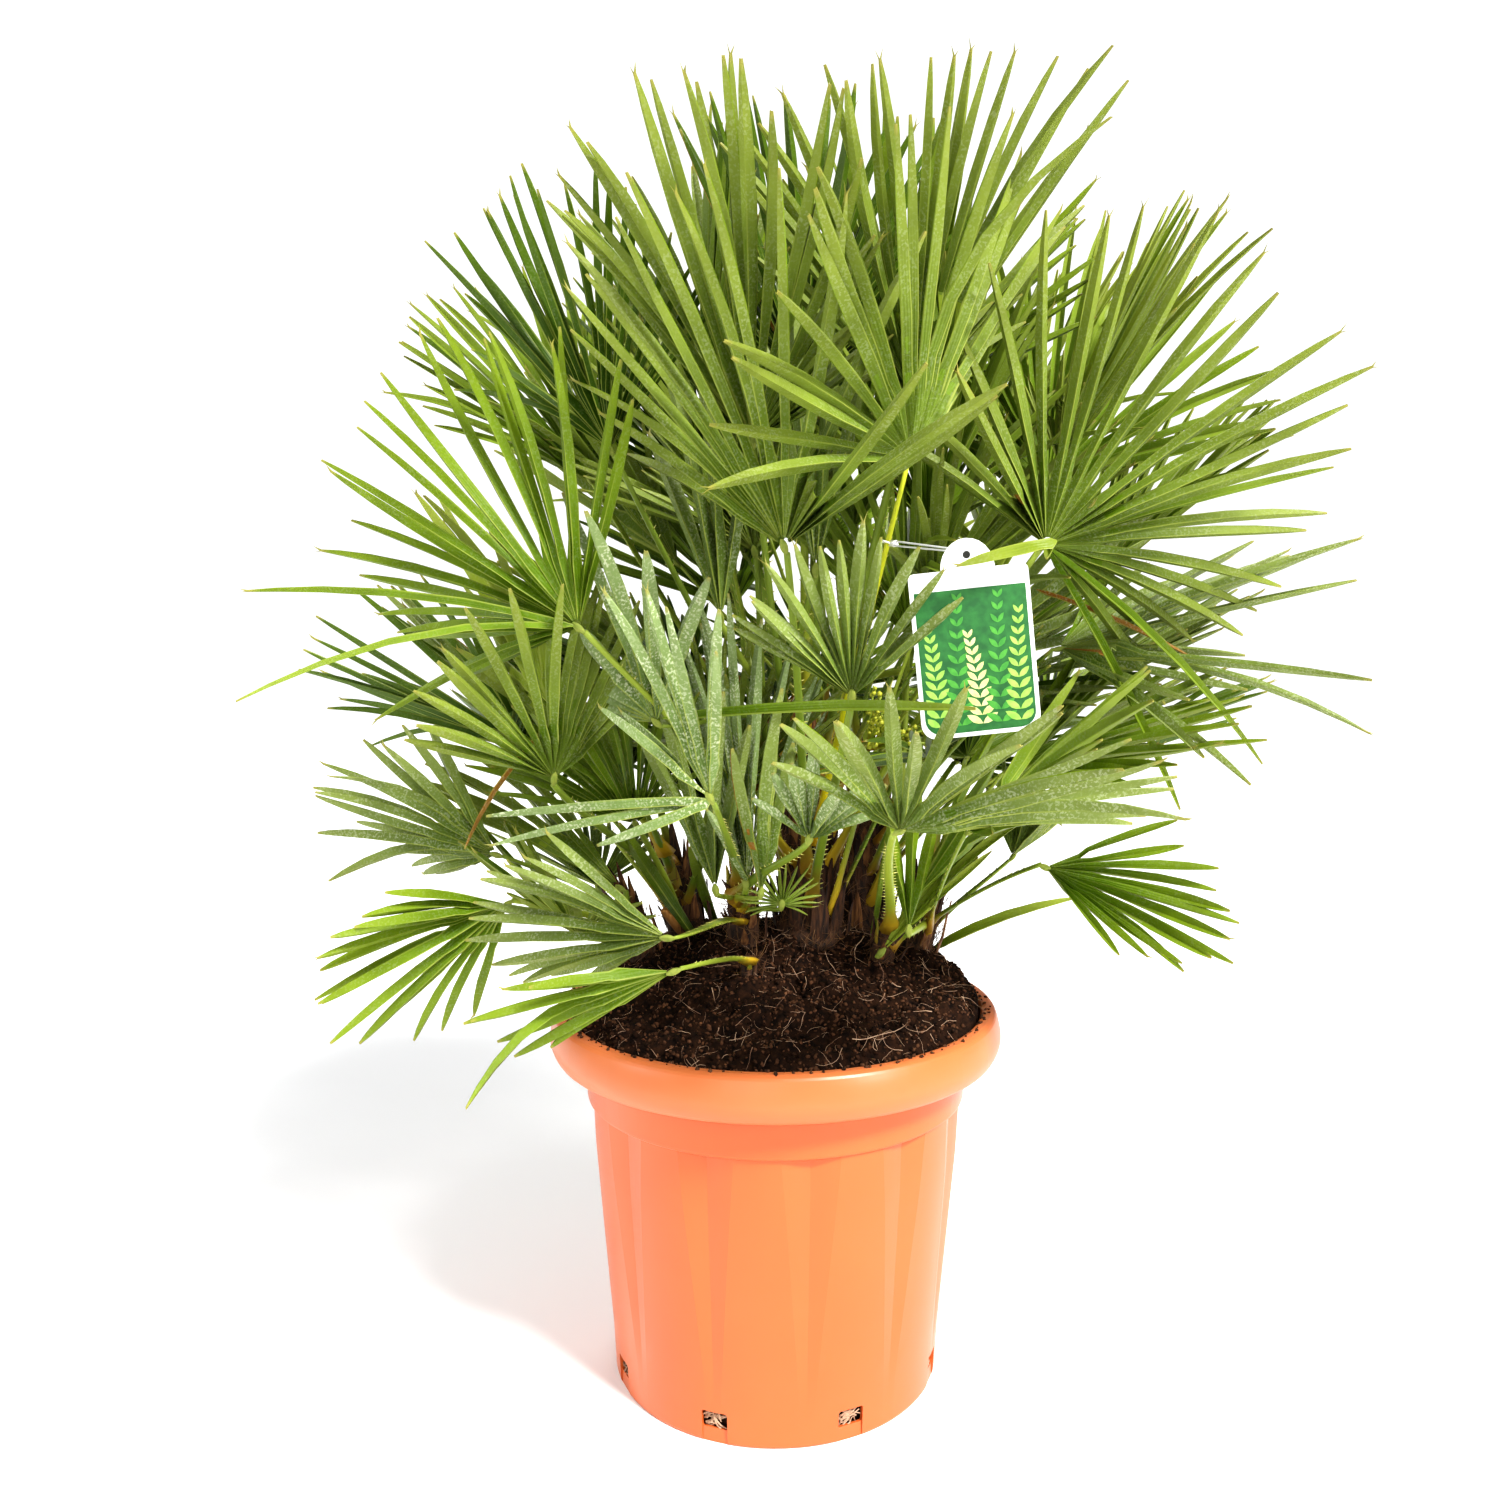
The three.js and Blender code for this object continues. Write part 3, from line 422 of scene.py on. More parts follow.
def leaflet_points(frond, index, bend, cut):
    line, across, upper, length = bent_line(frond, index, bend)
    whole = length * cut
    root = length * frond["joined"]
    out = root + (whole - root) * LEAFLET["shoulder"]
    half = min(frond["width"], LEAFLET["fill"] * out * frond["plan"]["step"]) / 2

    def along(reach):
        return frond["hub"] + line * reach - UP * (LEAFLET["droop"] * reach * reach / length)

    shoulder = along(out)
    rib = shoulder - upper * LEAFLET["fold"] * min(1, cut * 2)
    return {
        "tip": along(whole), "low": shoulder - across * half, "high": shoulder + across * half,
        "core": rib - upper * LEAFLET["thick"] / 2, "bend": bend, "cut": cut,
    }


def leaflet_segments(frond, index, points):
    valleys = frond["plan"]["valleys"]
    chains = [
        (frond["hub"], points["core"], points["tip"]),
        (valleys[index], points["low"], points["tip"]),
        (valleys[index + 1], points["high"], points["tip"]),
    ]
    clear, node = frond["clear"], frond["node"]
    return [segment(chain[place], chain[place + 1], clear, node) for chain in chains for place in (0, 1)]


def palm_segments(frond):
    hub, plan = frond["hub"], frond["plan"]
    roots = [hub + way * length * frond["joined"] for way, length in plan["leaflets"]]
    return [segment(hub, end, frond["clear"], frond["node"]) for end in (*plan["valleys"], *roots)]


def bezier(curve, share):
    a, b, c, d = curve
    rest = 1 - share
    return a * rest**3 + b * 3 * rest**2 * share + c * 3 * rest * share**2 + d * share**3


def petiole_start(frond, leader):
    if leader:
        return bezier(leader["curve"], FEET["follower"])
    foot, tip = stem_line(frond["stem"])
    centre = mix(foot, tip, frond["foot_share"])
    out = unit((frond["hub"] - centre) * (1, 1, 0))
    return centre + out * stem_radius(frond["stem"], frond["foot_share"]) * PETIOLE["sunk"]


def petiole_curve(frond, bow, leader):
    start = petiole_start(frond, leader)
    hub = frond["hub"]
    out = unit((hub - start) * (1, 1, 0))
    across = np.cross(UP, out) * bow
    reach = np.linalg.norm(hub - start)
    climb = max(reach * PETIOLE["least_climb"], (hub[2] - start[2]) * PETIOLE["climb"])
    rising = start + out * reach * PETIOLE["out"] + UP * climb + across
    arriving = hub - frond["frame"]["axis"] * reach * PETIOLE["arrive"] + across
    arriving[2] = max(arriving[2], soil_height(arriving[0], arriving[1]) + PETIOLE["over_soil"])
    return start, rising, arriving, hub - frond["frame"]["axis"] * PETIOLE["end"]


def petiole_segments(frond, curve):
    steps = PETIOLE["steps"]
    points = [bezier(curve, step / steps) for step in range(steps + 1)]
    segments = []
    for step in range(steps):
        radius = mix(PETIOLE["foot_radius"], PETIOLE["hub_radius"], step / steps) + PETIOLE["clear"]
        segments.append(segment(points[step], points[step + 1], radius, frond["node"]))
    return segments


def seat_frond(space, frond, leader):
    rows = space.others(frond["node"])
    round_stem = space.others(frond["node"], frond["stem"])
    for turn in TURNS:
        turned = {**frond, "heading": frond["heading"] + turn}
        if turn and frond["ring"]:
            foot = stem_line(frond["stem"])[0]
            turned["hub"] = foot + turned_about(frond["hub"] - foot, UP, turn)
        turned["frame"] = blade_frame(turned)
        turned["plan"] = plan_leaflets(turned)
        palm = palm_segments(turned)
        if not is_free(palm, rows):
            continue
        for lift in LIFTS:
            turned["foot_share"] = min(frond["foot_share"] + lift, 1)
            for bow in BOWS:
                curve = petiole_curve(turned, bow, leader)
                petiole = petiole_segments(turned, curve)
                if is_free(petiole, round_stem):
                    space.claim([*palm, *petiole])
                    return {**turned, "curve": curve}
    return None


def settle_leaflets(space, frond):
    reach = frond["length"] * LEAFLET["longest"] + LEAFLET["width"]
    rows = near(space.others(frond["node"]), frond["hub"] - reach, frond["hub"] + reach)
    settled = []
    for index in range(frond["leaflets"]):
        tries = ((bend, cut) for cut in LENGTHS for bend in BENDS)
        points = leaflet_points(frond, index, 0, frond["joined"] * STUB)
        for bend, cut in tries:
            tried = leaflet_points(frond, index, bend, cut)
            segments = leaflet_segments(frond, index, tried)
            if is_free(segments, rows):
                space.claim(segments)
                points = tried
                break
        settled.append(points)
    frond["settled"] = settled


def make_plan(node, stem, numbers, seed, **more):
    x, y, z, *rest = numbers
    names = ("heading", "rise", "roll", "spread", "leaflets", "length", "joined")
    hub = np.array([x, y, z], dtype=float)
    return {
        "node": node, "stem": stem, "hub": hub, "seed": seed, "ring": False, "young": False, "follows": False,
        "width": LEAFLET["width"], "clear": LEAF_CLEAR, **dict(zip(names, rest)), **more,
    }


def plan_fronds():
    plans = []

    def seed():
        return SEEDS["frond"] + len(plans) * SEEDS["frond_step"]

    for stem, *numbers in SHOWN:
        plans.append(make_plan(f"frond_{len(plans) + 1:02d}", stem, numbers, seed()))
    for stem, leaves in YOUNG.items():
        node = f"young_leaves_{stem}"
        for index, numbers in enumerate(leaves):
            plans.append(make_plan(node, stem, numbers, seed(), young=True, follows=index > 0))
    dice = Dice(SEEDS["rings"])
    for stem, numbers in ring_numbers(RINGS, dice):
        number = sum(not plan["young"] for plan in plans) + 1
        plans.append(make_plan(f"frond_{number:02d}", stem, numbers, seed(), ring=True))
    return plans


def ring_numbers(rings, dice):
    """Stem and numbers of each frond that stands in a ring round its stem."""

    def stray(most):
        return dice.span(-most, most)

    for stem, count, first, step, radius, z, rise, length, spread, leaflets in rings:
        tip = stem_line(stem)[1]
        for place in range(count):
            heading = first + place * step + stray(STRAY["heading"])
            out = radius * dice.span(STRAY["nearest"], STRAY["farthest"])
            hub = polar(out, heading, z + stray(STRAY["height"])) + tip * (1, 1, 0)
            pose = (*hub, heading, rise + stray(STRAY["rise"]), stray(STRAY["roll"]))
            yield stem, (*pose, spread, leaflets, length, RING_JOINED)


def plan_inner_fronds():
    """Smaller fans between the others, which only this scene has."""
    plans = []
    for stem, numbers in ring_numbers(INNER_RINGS, Dice(SEEDS["inner"])):
        seed = SEEDS["inner"] + len(plans) * SEEDS["frond_step"]
        node = f"inner_{len(plans) + 1:02d}"
        plans.append(make_plan(node, stem, numbers, seed, ring=True, **INNER))
    return plans


def plant_extra():
    """The scene's own fans, each set just where it is told."""
    planted = []
    for index, (stem, numbers, width, arch) in enumerate(EXTRA):
        seed = SEEDS["extra"] + index * SEEDS["frond_step"]
        node = f"extra_{index + 1}"
        frond = make_plan(node, stem, numbers, seed, width=width, arch=arch, foot_share=EXTRA_FOOT)
        frond["frame"] = blade_frame(frond)
        frond["curve"] = petiole_curve(frond, 0, None)
        frond["settled"] = [{"bend": 0, "cut": 1}] * frond["leaflets"]
        planted.append(frond)
    return planted


def set_feet(fronds):
    for stem in STEMS:
        own = [frond for frond in fronds if frond["stem"] == stem]
        heights = {}
        for frond in own:
            heights.setdefault(frond["node"], frond["hub"][2])
        nodes = sorted(heights, key=heights.get)
        for frond in own:
            order = (nodes.index(frond["node"]) + 1) / len(nodes)
            climbing = FEET["lowest"] + FEET["climb"] * order
            frond["foot_share"] = FEET["young"] if frond["young"] else climbing


def tag_point(x, z, y=0.0):
    lean = math.radians(TAG["lean"])
    return np.array([
        TAG["x"] + x * math.cos(lean) - z * math.sin(lean),
        TAG["y"] + y,
        TAG["z"] + x * math.sin(lean) + z * math.cos(lean),
    ])


def tie_ends(curve):
    eye = tag_point(0, TAG["height"] / 2 + TAG["tab_height"] * TAG["eye"])
    held = bezier(curve, TAG["tie_share"])
    radius = mix(PETIOLE["foot_radius"], PETIOLE["hub_radius"], TAG["tie_share"])
    return eye, held + unit(eye - held) * (radius + TAG["tie"] + TAG["tie_gap"])


def grow_palm():
    space = Space()
    for name in STEMS:
        foot, tip = stem_line(name)
        for piece in range(STEM_PIECES):
            share = piece / STEM_PIECES
            p, q = mix(foot, tip, share), mix(foot, tip, (piece + 1) / STEM_PIECES)
            space.claim([segment(p, q, stem_radius(name, share) + STEM_CLEAR, name)])
    for line in range(TAG["lines"]):
        x = (line / (TAG["lines"] - 1) - 0.5) * TAG["width"]
        low, high = tag_point(x, -TAG["height"] / 2), tag_point(x, TAG["height"] / 2)
        space.claim([segment(low, high, TAG["clear"], "hang_tag")])
    planned = plan_fronds()
    set_feet(planned)
    seated = []
    for plan in planned:
        leader = next((f for f in seated if f["node"] == plan["node"]), None) if plan["follows"] else None
        if plan["follows"] and leader is None:
            continue
        frond = seat_frond(space, plan, leader)
        if frond:
            seated.append(frond)
    eye, held = tie_ends(seated[0]["curve"])
    space.claim([segment(eye, held, TAG["tie"] + TAG["tie_clear"], "hang_tag")])
    for frond in seated:
        settle_leaflets(space, frond)
    inner = plan_inner_fronds()
    set_feet(inner)
    for plan in inner:
        frond = seat_frond(space, plan, None)
        if frond:
            settle_leaflets(space, frond)
            seated.append(frond)
    return seated


# Helpers for meshes, materials and node trees.


class Heap:
    """Points and faces of one piece, gathered in millimetres before they become a mesh."""

    def __init__(self):
        self.points = []
        self.faces = []
        self.slots = []
        self.places = []
        self.count = 0

    def add(self, points, faces, slots, places=None):
        points = np.asarray(points, dtype=float)
        self.points.append(points)
        self.places.append(np.zeros((len(points), 2)) if places is None else np.array(places, dtype=float))
        self.faces.extend(tuple(corner + self.count for corner in face) for face in faces)
        self.slots.extend([slots] * len(faces) if isinstance(slots, int) else slots)
        self.count += len(points)

    def piece(self, name, materials, sharp=None):
        """The heap as an object, with the shares across and along each part in its UV map."""
        mesh = bpy.data.meshes.new(name)
        mesh.from_pydata((np.concatenate(self.points) * MM).tolist(), [], self.faces)
        for material in materials:
            mesh.materials.append(material)
        mesh.polygons.foreach_set("material_index", np.array(self.slots, dtype=np.int32))
        mesh.polygons.foreach_set("use_smooth", np.ones(len(mesh.polygons), dtype=bool))
        corners = np.empty(len(mesh.loops), dtype=np.int32)
        mesh.loops.foreach_get("vertex_index", corners)
        uv = mesh.uv_layers.new(name="UVMap")
        uv.data.foreach_set("uv", np.concatenate(self.places)[corners].ravel())
        mesh.update()
        if sharp is not None:
            mesh.set_sharp_from_angle(angle=math.radians(sharp))
        return link(name, mesh)


def link(name, mesh):
    piece = bpy.data.objects.new(name, mesh)
    bpy.context.collection.objects.link(piece)
    return piece


def declare(piece, slot, *nodes):
    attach(piece, "root")
    if nodes:
        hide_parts(*nodes)


def loft_faces(rings, sides):
    """Quads between rings of points that follow each other in a heap."""
    faces = []
    for start in range(0, (rings - 1) * sides, sides):
        for side in range(sides):
            one, two = start + side, start + (side + 1) % sides
            faces.append((one, two, two + sides, one + sides))
    return faces


def capped(rings, sides):
    """Faces of a tube closed at both ends. Its rings turn anticlockwise seen from the last."""
    last = (rings - 1) * sides
    return [tuple(reversed(range(sides))), *loft_faces(rings, sides), tuple(range(last, last + sides))]


ASKEW = (0.31, 0.17, 0.93)


def tube(heap, path, radii, sides, slot):
    """A tapered tube along points."""
    path = np.asarray(path)
    ways = np.gradient(path, axis=0)
    side = unit(np.cross(ways[0], ASKEW))
    points, places = [], []
    for place, (middle, way, radius) in enumerate(zip(path, ways, radii)):
        side = unit(side - way * np.dot(side, way) / np.dot(way, way))
        other = unit(np.cross(way, side))
        for turn in range(sides):
            angle = 2 * math.pi * turn / sides
            points.append(middle + (side * math.cos(angle) + other * math.sin(angle)) * radius)
            places.append((turn / sides, place / (len(path) - 1)))
    heap.add(points, capped(len(path), sides), slot, places)


def linear(colour):
    """Linear RGBA of an sRGB hex value."""
    parts = [int(colour[place : place + 2], 16) / 255 for place in (1, 3, 5)]
    return (*(part / 12.92 if part <= 0.04045 else ((part + 0.055) / 1.055) ** 2.4 for part in parts), 1.0)


def add_node(tree, kind, inputs=None, **settings):
    """Adds a node with its settings, and links or fills its inputs by name or number."""
    node = tree.nodes.new(kind)
    for name, value in settings.items():
        setattr(node, name, value)
    for name, value in (inputs or {}).items():
        if isinstance(value, bpy.types.NodeSocket):
            tree.links.new(value, node.inputs[name])
        else:
            node.inputs[name].default_value = value
    return node


def new_material(name):
    material = bpy.data.materials.new(name)
    material.use_nodes = True
    material.node_tree.nodes.clear()
    return material, material.node_tree


def finish_tree(tree, shader):
    add_node(tree, "ShaderNodeOutputMaterial", {"Surface": shader})


MOTTLE_SPREAD = {"From Min": 0.35, "From Max": 0.65}
WAX_IOR = 1.45
POLYPROPYLENE_IOR = 1.49


def mottled(name, colour, other, size, share, rough, bump=0.0, bump_size=None, **more):
    """A colour mottled towards another, with grain of a given size in millimetres."""
    look = {"ior": WAX_IOR, "gloss": 0.5, "upright": 1.0, **more}
    material, tree = new_material(name)
    coords = add_node(tree, "ShaderNodeTexCoord").outputs["Object"]
    # Fibres are drawn out upwards.
    drawn_out = {"Vector": coords, "Scale": (1.0, 1.0, 1 / look["upright"])}
    place = add_node(tree, "ShaderNodeMapping", drawn_out).outputs["Vector"]
    mottle, grain = (
        add_node(
            tree, "ShaderNodeTexNoise", {"Vector": place, "Scale": 1 / (each * MM), "Detail": detail}
        ).outputs["Fac"]
        for each, detail in ((size, 4.0), (bump_size or size, 3.0))
    )
    spread = add_node(tree, "ShaderNodeMapRange", {"Value": mottle, **MOTTLE_SPREAD, "To Max": share})
    tint = add_node(
        tree, "ShaderNodeMix", {0: spread.outputs["Result"], 6: linear(colour), 7: linear(other)},
        data_type="RGBA",
    )
    relief = add_node(tree, "ShaderNodeBump", {"Height": grain, "Strength": bump, "Distance": 0.001})
    shader = add_node(
        tree, "ShaderNodeBsdfPrincipled",
        {
            "Base Color": tint.outputs[2], "Roughness": rough, "IOR": look["ior"],
            "Specular IOR Level": look["gloss"], "Normal": relief.outputs["Normal"],
        },
    )
    finish_tree(tree, shader.outputs["BSDF"])
    return material


# Palm leaf: a waxy cuticle over fibrous green flesh. Light that comes through the thin blade gives the bright
# yellow-green, the cuticle a narrow sheen, the scurf a fine pale speckle and the rib and margins pale lines.
VEINS = 7
LEAF_GLOSS = 0.26
RIB_COLOUR = "#b9c25c"
SCURF_COLOUR = "#d3d9b4"
CLOUD_COLOUR = "#4d5f0c"
TIP_COLOUR = "#aaa252"


def leaf_blade(name, colour, tip_colour, scurf=0.1, through=0.3, rough=0.36):
    material, tree = new_material(name)
    coords = add_node(tree, "ShaderNodeTexCoord")
    shares = add_node(tree, "ShaderNodeSeparateXYZ", {"Vector": coords.outputs["UV"]})
    along = shares.outputs["Y"]
    from_rib = add_node(tree, "ShaderNodeMath", {0: shares.outputs["X"], 1: 0.5}, operation="SUBTRACT")
    off = add_node(tree, "ShaderNodeMath", {0: from_rib.outputs[0]}, operation="ABSOLUTE").outputs[0]
    # Clouds are some forty millimetres long, patches of scurf twenty, its specks one to two.
    cloud, patch, speck = (
        add_node(
            tree, "ShaderNodeTexNoise", {"Vector": coords.outputs["Object"], "Scale": size, "Detail": 2.0}
        ).outputs["Fac"]
        for size in (26.0, 45.0, 640.0)
    )
    # The rib, the margins and the veins are too fine to see on the outer half.
    paler, clouded, specks, thick, rib, margin, tip, near = (
        add_node(
            tree, "ShaderNodeMapRange",
            {"Value": value, "From Min": low, "From Max": high, "To Min": least, "To Max": most},
        ).outputs["Result"]
        for value, low, high, least, most in (
            (along, 0.3, 1.0, 0.0, 0.8), (cloud, 0.38, 0.66, 0.0, 0.28), (speck, 0.5, 0.62, 0.0, scurf),
            (patch, 0.4, 0.6, 0.25, 1.0), (off, 0.03, 0.075, 0.7, 0.0), (off, 0.44, 0.5, 0.0, 0.45),
            (along, 0.965, 0.995, 0.0, 0.8), (along, 0.4, 0.75, 1.0, 0.0),
        )
    )
    # Veins run the leaflet's length, some two millimetres apart so that they show.
    ripple = {0: shares.outputs["X"], 1: 2 * math.pi * VEINS}
    turns = add_node(tree, "ShaderNodeMath", ripple, operation="MULTIPLY").outputs[0]
    wave = add_node(tree, "ShaderNodeMath", {0: turns}, operation="SINE").outputs[0]
    dust, rib_line, margin_line, ridge = (
        add_node(tree, "ShaderNodeMath", {0: one, 1: two}, operation="MULTIPLY").outputs[0]
        for one, two in ((specks, thick), (rib, near), (margin, near), (wave, near))
    )
    skin = linear(colour)
    for share, over, way in (
        (paler, tip_colour, "MIX"), (clouded, CLOUD_COLOUR, "MULTIPLY"), (dust, SCURF_COLOUR, "MIX"),
        (rib_line, RIB_COLOUR, "MIX"), (margin_line, RIB_COLOUR, "MIX"), (tip, TIP_COLOUR, "MIX"),
    ):
        layer = {0: share, 6: skin, 7: linear(over)}
        skin = add_node(tree, "ShaderNodeMix", layer, data_type="RGBA", blend_type=way).outputs[2]
    relief = add_node(tree, "ShaderNodeBump", {"Height": ridge, "Strength": 0.25, "Distance": 0.0004})
    shader = add_node(
        tree, "ShaderNodeBsdfPrincipled",
        {
            "Base Color": skin, "Roughness": rough, "IOR": WAX_IOR, "Specular IOR Level": LEAF_GLOSS,
            "Normal": relief.outputs["Normal"],
        },
    )
    glow = add_node(tree, "ShaderNodeBsdfTranslucent", {"Color": skin})
    layers = {0: through, 1: shader.outputs["BSDF"], 2: glow.outputs["BSDF"]}
    finish_tree(tree, add_node(tree, "ShaderNodeMixShader", layers).outputs["Shader"])
    return material


def stalk_rind(name, foot, middle, hub):
    """Leaf stalk: a smooth waxy rind, yellow or orange at its foot, where the sheath kept the light off."""
    material, tree = new_material(name)
    coords = add_node(tree, "ShaderNodeTexCoord")
    along = add_node(tree, "ShaderNodeSeparateXYZ", {"Vector": coords.outputs["UV"]}).outputs["Y"]
    skin = linear(foot)
    for low, high, over in ((0.04, 0.24, middle), (0.3, 0.9, hub)):
        share = add_node(tree, "ShaderNodeMapRange", {"Value": along, "From Min": low, "From Max": high})
        layer = {0: share.outputs["Result"], 6: skin, 7: linear(over)}
        skin = add_node(tree, "ShaderNodeMix", layer, data_type="RGBA").outputs[2]
    streak = add_node(
        tree, "ShaderNodeTexNoise", {"Vector": coords.outputs["Object"], "Scale": 300.0, "Detail": 3.0}
    )
    relief = add_node(
        tree, "ShaderNodeBump", {"Height": streak.outputs["Fac"], "Strength": 0.2, "Distance": 0.0005}
    )
    shader = add_node(
        tree, "ShaderNodeBsdfPrincipled",
        {
            "Base Color": skin, "Roughness": 0.38, "IOR": WAX_IOR, "Specular IOR Level": LEAF_GLOSS,
            "Normal": relief.outputs["Normal"],
        },
    )
    finish_tree(tree, shader.outputs["BSDF"])
    return material


# From the painted shade of the crown's heart to the painted light and glow of its top, then the dull
# underside and the dried blade.
SHADE_DEEP, MIDDLE, LIT_BRIGHT, LIT_YELLOW, GREY, SILVER, UNDERSIDE, DRIED, CORK = range(9)
# The deep green is painted shade, the bright and yellow greens painted light and painted glow; grey, silver,
# underside and dried are the leaves' own colours.
LEAF_FINISHES = [
    leaf_blade("palm_leaf_deep_green_painted_shade", "#43600b", "#5f7714", scurf=0.06, through=0.18),
    leaf_blade("palm_leaf_middle_green", "#6c8a15", "#90a32a", scurf=0.1),
    leaf_blade("palm_leaf_bright_green_painted_light", "#86a42a", "#aab84e", scurf=0.1, through=0.36),
    leaf_blade("palm_leaf_yellow_green_painted_glow", "#a0b434", "#bcc65c", scurf=0.12, through=0.4),
    leaf_blade("palm_leaf_grey_green", "#7a903e", "#9eaa5a", scurf=0.4, rough=0.45),
    leaf_blade("palm_leaf_silver_scurf", "#8aa35a", "#a6b87c", scurf=1.0, rough=0.55),
    leaf_blade("palm_leaf_underside", "#7c9330", "#9ea848", scurf=0.2, rough=0.5),
    leaf_blade("palm_leaf_dried", "#9a6a24", "#b58a40", scurf=0.2, through=0.15, rough=0.65),
    mottled("leaf_hub_cork", "#8e9644", "#6f8030", 3, 0.7, 0.6, 0.3, gloss=0.25),
]
GREEN_STALK, YELLOW_STALK, SHADED_STALK = range(3)
STALK_FINISHES = [
    stalk_rind("leaf_stalk_green", "#bd9826", "#8c9a30", "#8f9f3c"),
    stalk_rind("leaf_stalk_yellow", "#d8ae1c", "#c8c41a", "#b8be2e"),
    stalk_rind("leaf_stalk_shaded", "#a07a2a", "#6f8428", "#7a8c32"),
]

# Fine leaflets: a blade folded along its rib, from the joined palm to a blunt or a forked tip.
FOLD_SHARP = 35
PALM_ROWS = (0.12, 1.0)
FREE_ROWS = ((0.1, 0.84), (0.3, 1.0), (0.55, 0.95), (0.76, 0.77), (0.91, 0.48), (1.0, 0.17))
SIDES = np.array([-1.0, 0.0, 1.0])
ROW_PLACES = (0, 0.5, 1, 1, 0.5, 0)
SKIN = 0.7
FORK = {"odds": 0.3, "long": 6.0, "apart": 1.5}
TWIST = 26
ROLL = 16
SWAY = 0.05
ARCH = (-0.03, 0.07)
KINKED = {"odds": 0.05, "least": 0.16, "most": 0.42}
BEND_POWER = 2.2
FOLD_ANGLE = 54
OPEN_ANGLE = 40
FINER = {"shown": 1.6, "other": 2.1, "slimmer": 0.76, "turn": 2.4, "lift": 1.4}
FAN_WIDTHS = (0.88, 1.12)
LEAFLET_WIDTHS = (0.85, 1.1)
CROWDED = 0.95
# Upright fans of the rings are partly closed.
CLOSING = {"level": 0.95, "upright": 0.72, "first": 15, "over": 50}
CUPPING = (-0.05, 0.42)
# The crown's top slopes down towards its front. A tip beyond it is bent less and cut back.
CANOPY = {"height": 846, "front": -200, "slope": 0.42, "bend": 0.3, "cut": 1.5}
LEAST_CLIMB = 1e-3


def around(row, lift, skin):
    """The columns of a row, along its underside and back over its top."""
    return np.concatenate([row - lift * skin, row[::-1]])


LOW_CORNER, HIGH_CORNER = (np.array(corner) / MM for corner in CAD_BOX)


def over_canopy(point):
    """How far a point stands over the crown's sloping top."""
    return point[2] - CANOPY["height"] - CANOPY["slope"] * (point[1] - CANOPY["front"])


def inside_box(hub, line, whole):
    """The length that keeps a leaflet inside the solids' box and under the crown's top."""
    room = np.where(line > 0, HIGH_CORNER - hub, LOW_CORNER - hub)
    climb = max(line[2] - CANOPY["slope"] * line[1], LEAST_CLIMB)
    reach = room / np.where(abs(line) > LEAST_CLIMB, line, np.copysign(LEAST_CLIMB, room))
    return min(whole, -over_canopy(hub) / climb, *reach)


def finer(frond, dice):
    """The frond's leaflets, narrower and more numerous, each settled as its neighbours in the solids are."""
    hub, blade, count, young = (frond[name] for name in ("hub", "frame", "leaflets", "young"))
    shown = not frond["ring"]
    fine = count if young else round(count * FINER["shown" if shown else "other"])
    last = fine - 1
    closed = smooth((frond["rise"] - CLOSING["first"]) / CLOSING["over"])
    closing = 1 if young or shown else mix(CLOSING["level"], CLOSING["upright"], closed)
    cupping = 0.0 if young else dice.span(*CUPPING)
    step = math.radians(frond["spread"]) * closing / last
    width = frond["width"] * (1 if young else FINER["slimmer"]) * dice.span(*FAN_WIDTHS)
    lengths = TRIMMED.get(frond["node"]) or TRIMMED.get(f"{frond['node']}_{count}") or (1, 1)
    kept = KEPT.get(frond["node"], ((0, 1),))

    def lift(off):
        return LEAFLET["cup"] + cupping * off * off

    leaflets = []
    for index in range(fine):
        place = index / last * (count - 1)
        low = min(int(place), count - 2)
        share = place - low
        one, two = frond["settled"][low : low + 2]
        off = abs(2 * index / last - 1)
        angle = (index - last / 2) * step + math.radians(dice.span(-FINER["turn"], FINER["turn"]))
        length = frond["length"] * (1 - LEAFLET["taper"] * off ** LEAFLET["taper_power"])
        length *= dice.span(LEAFLET["shortest"], LEAFLET["longest"])
        length *= float(np.interp(index / last, np.linspace(0, 1, len(lengths)), lengths))
        direction = aim(blade, angle, lift(off) + dice.span(-1, 1) * LEAFLET["stray_lift"] * FINER["lift"])
        lean = math.radians(mix(one["bend"], two["bend"], share))
        line = unit(direction * math.cos(lean) + blade["normal"] * math.sin(lean))
        whole = inside_box(hub, line, length * (one if share < 0.5 else two)["cut"])
        across = unit(np.cross(blade["normal"], line))
        leaflets.append({"line": line, "across": across, "length": length, "whole": whole})
    valleys = []
    for index in range(fine + 1):
        beside = leaflets[max(index - 1, 0)], leaflets[min(index, last)]
        reach = min(leaflet["length"] for leaflet in beside) * frond["joined"]
        off = abs(2 * index / fine - 1)
        valleys.append(hub + aim(blade, (index - fine / 2) * step, lift(off)) * reach)
    staying = []
    for index, leaflet in enumerate(leaflets):
        leaflet.update(step=step, width=width, left=valleys[index], right=valleys[index + 1])
        if any(low <= index / last <= high for low, high in kept):
            staying.append(leaflet)
    return staying


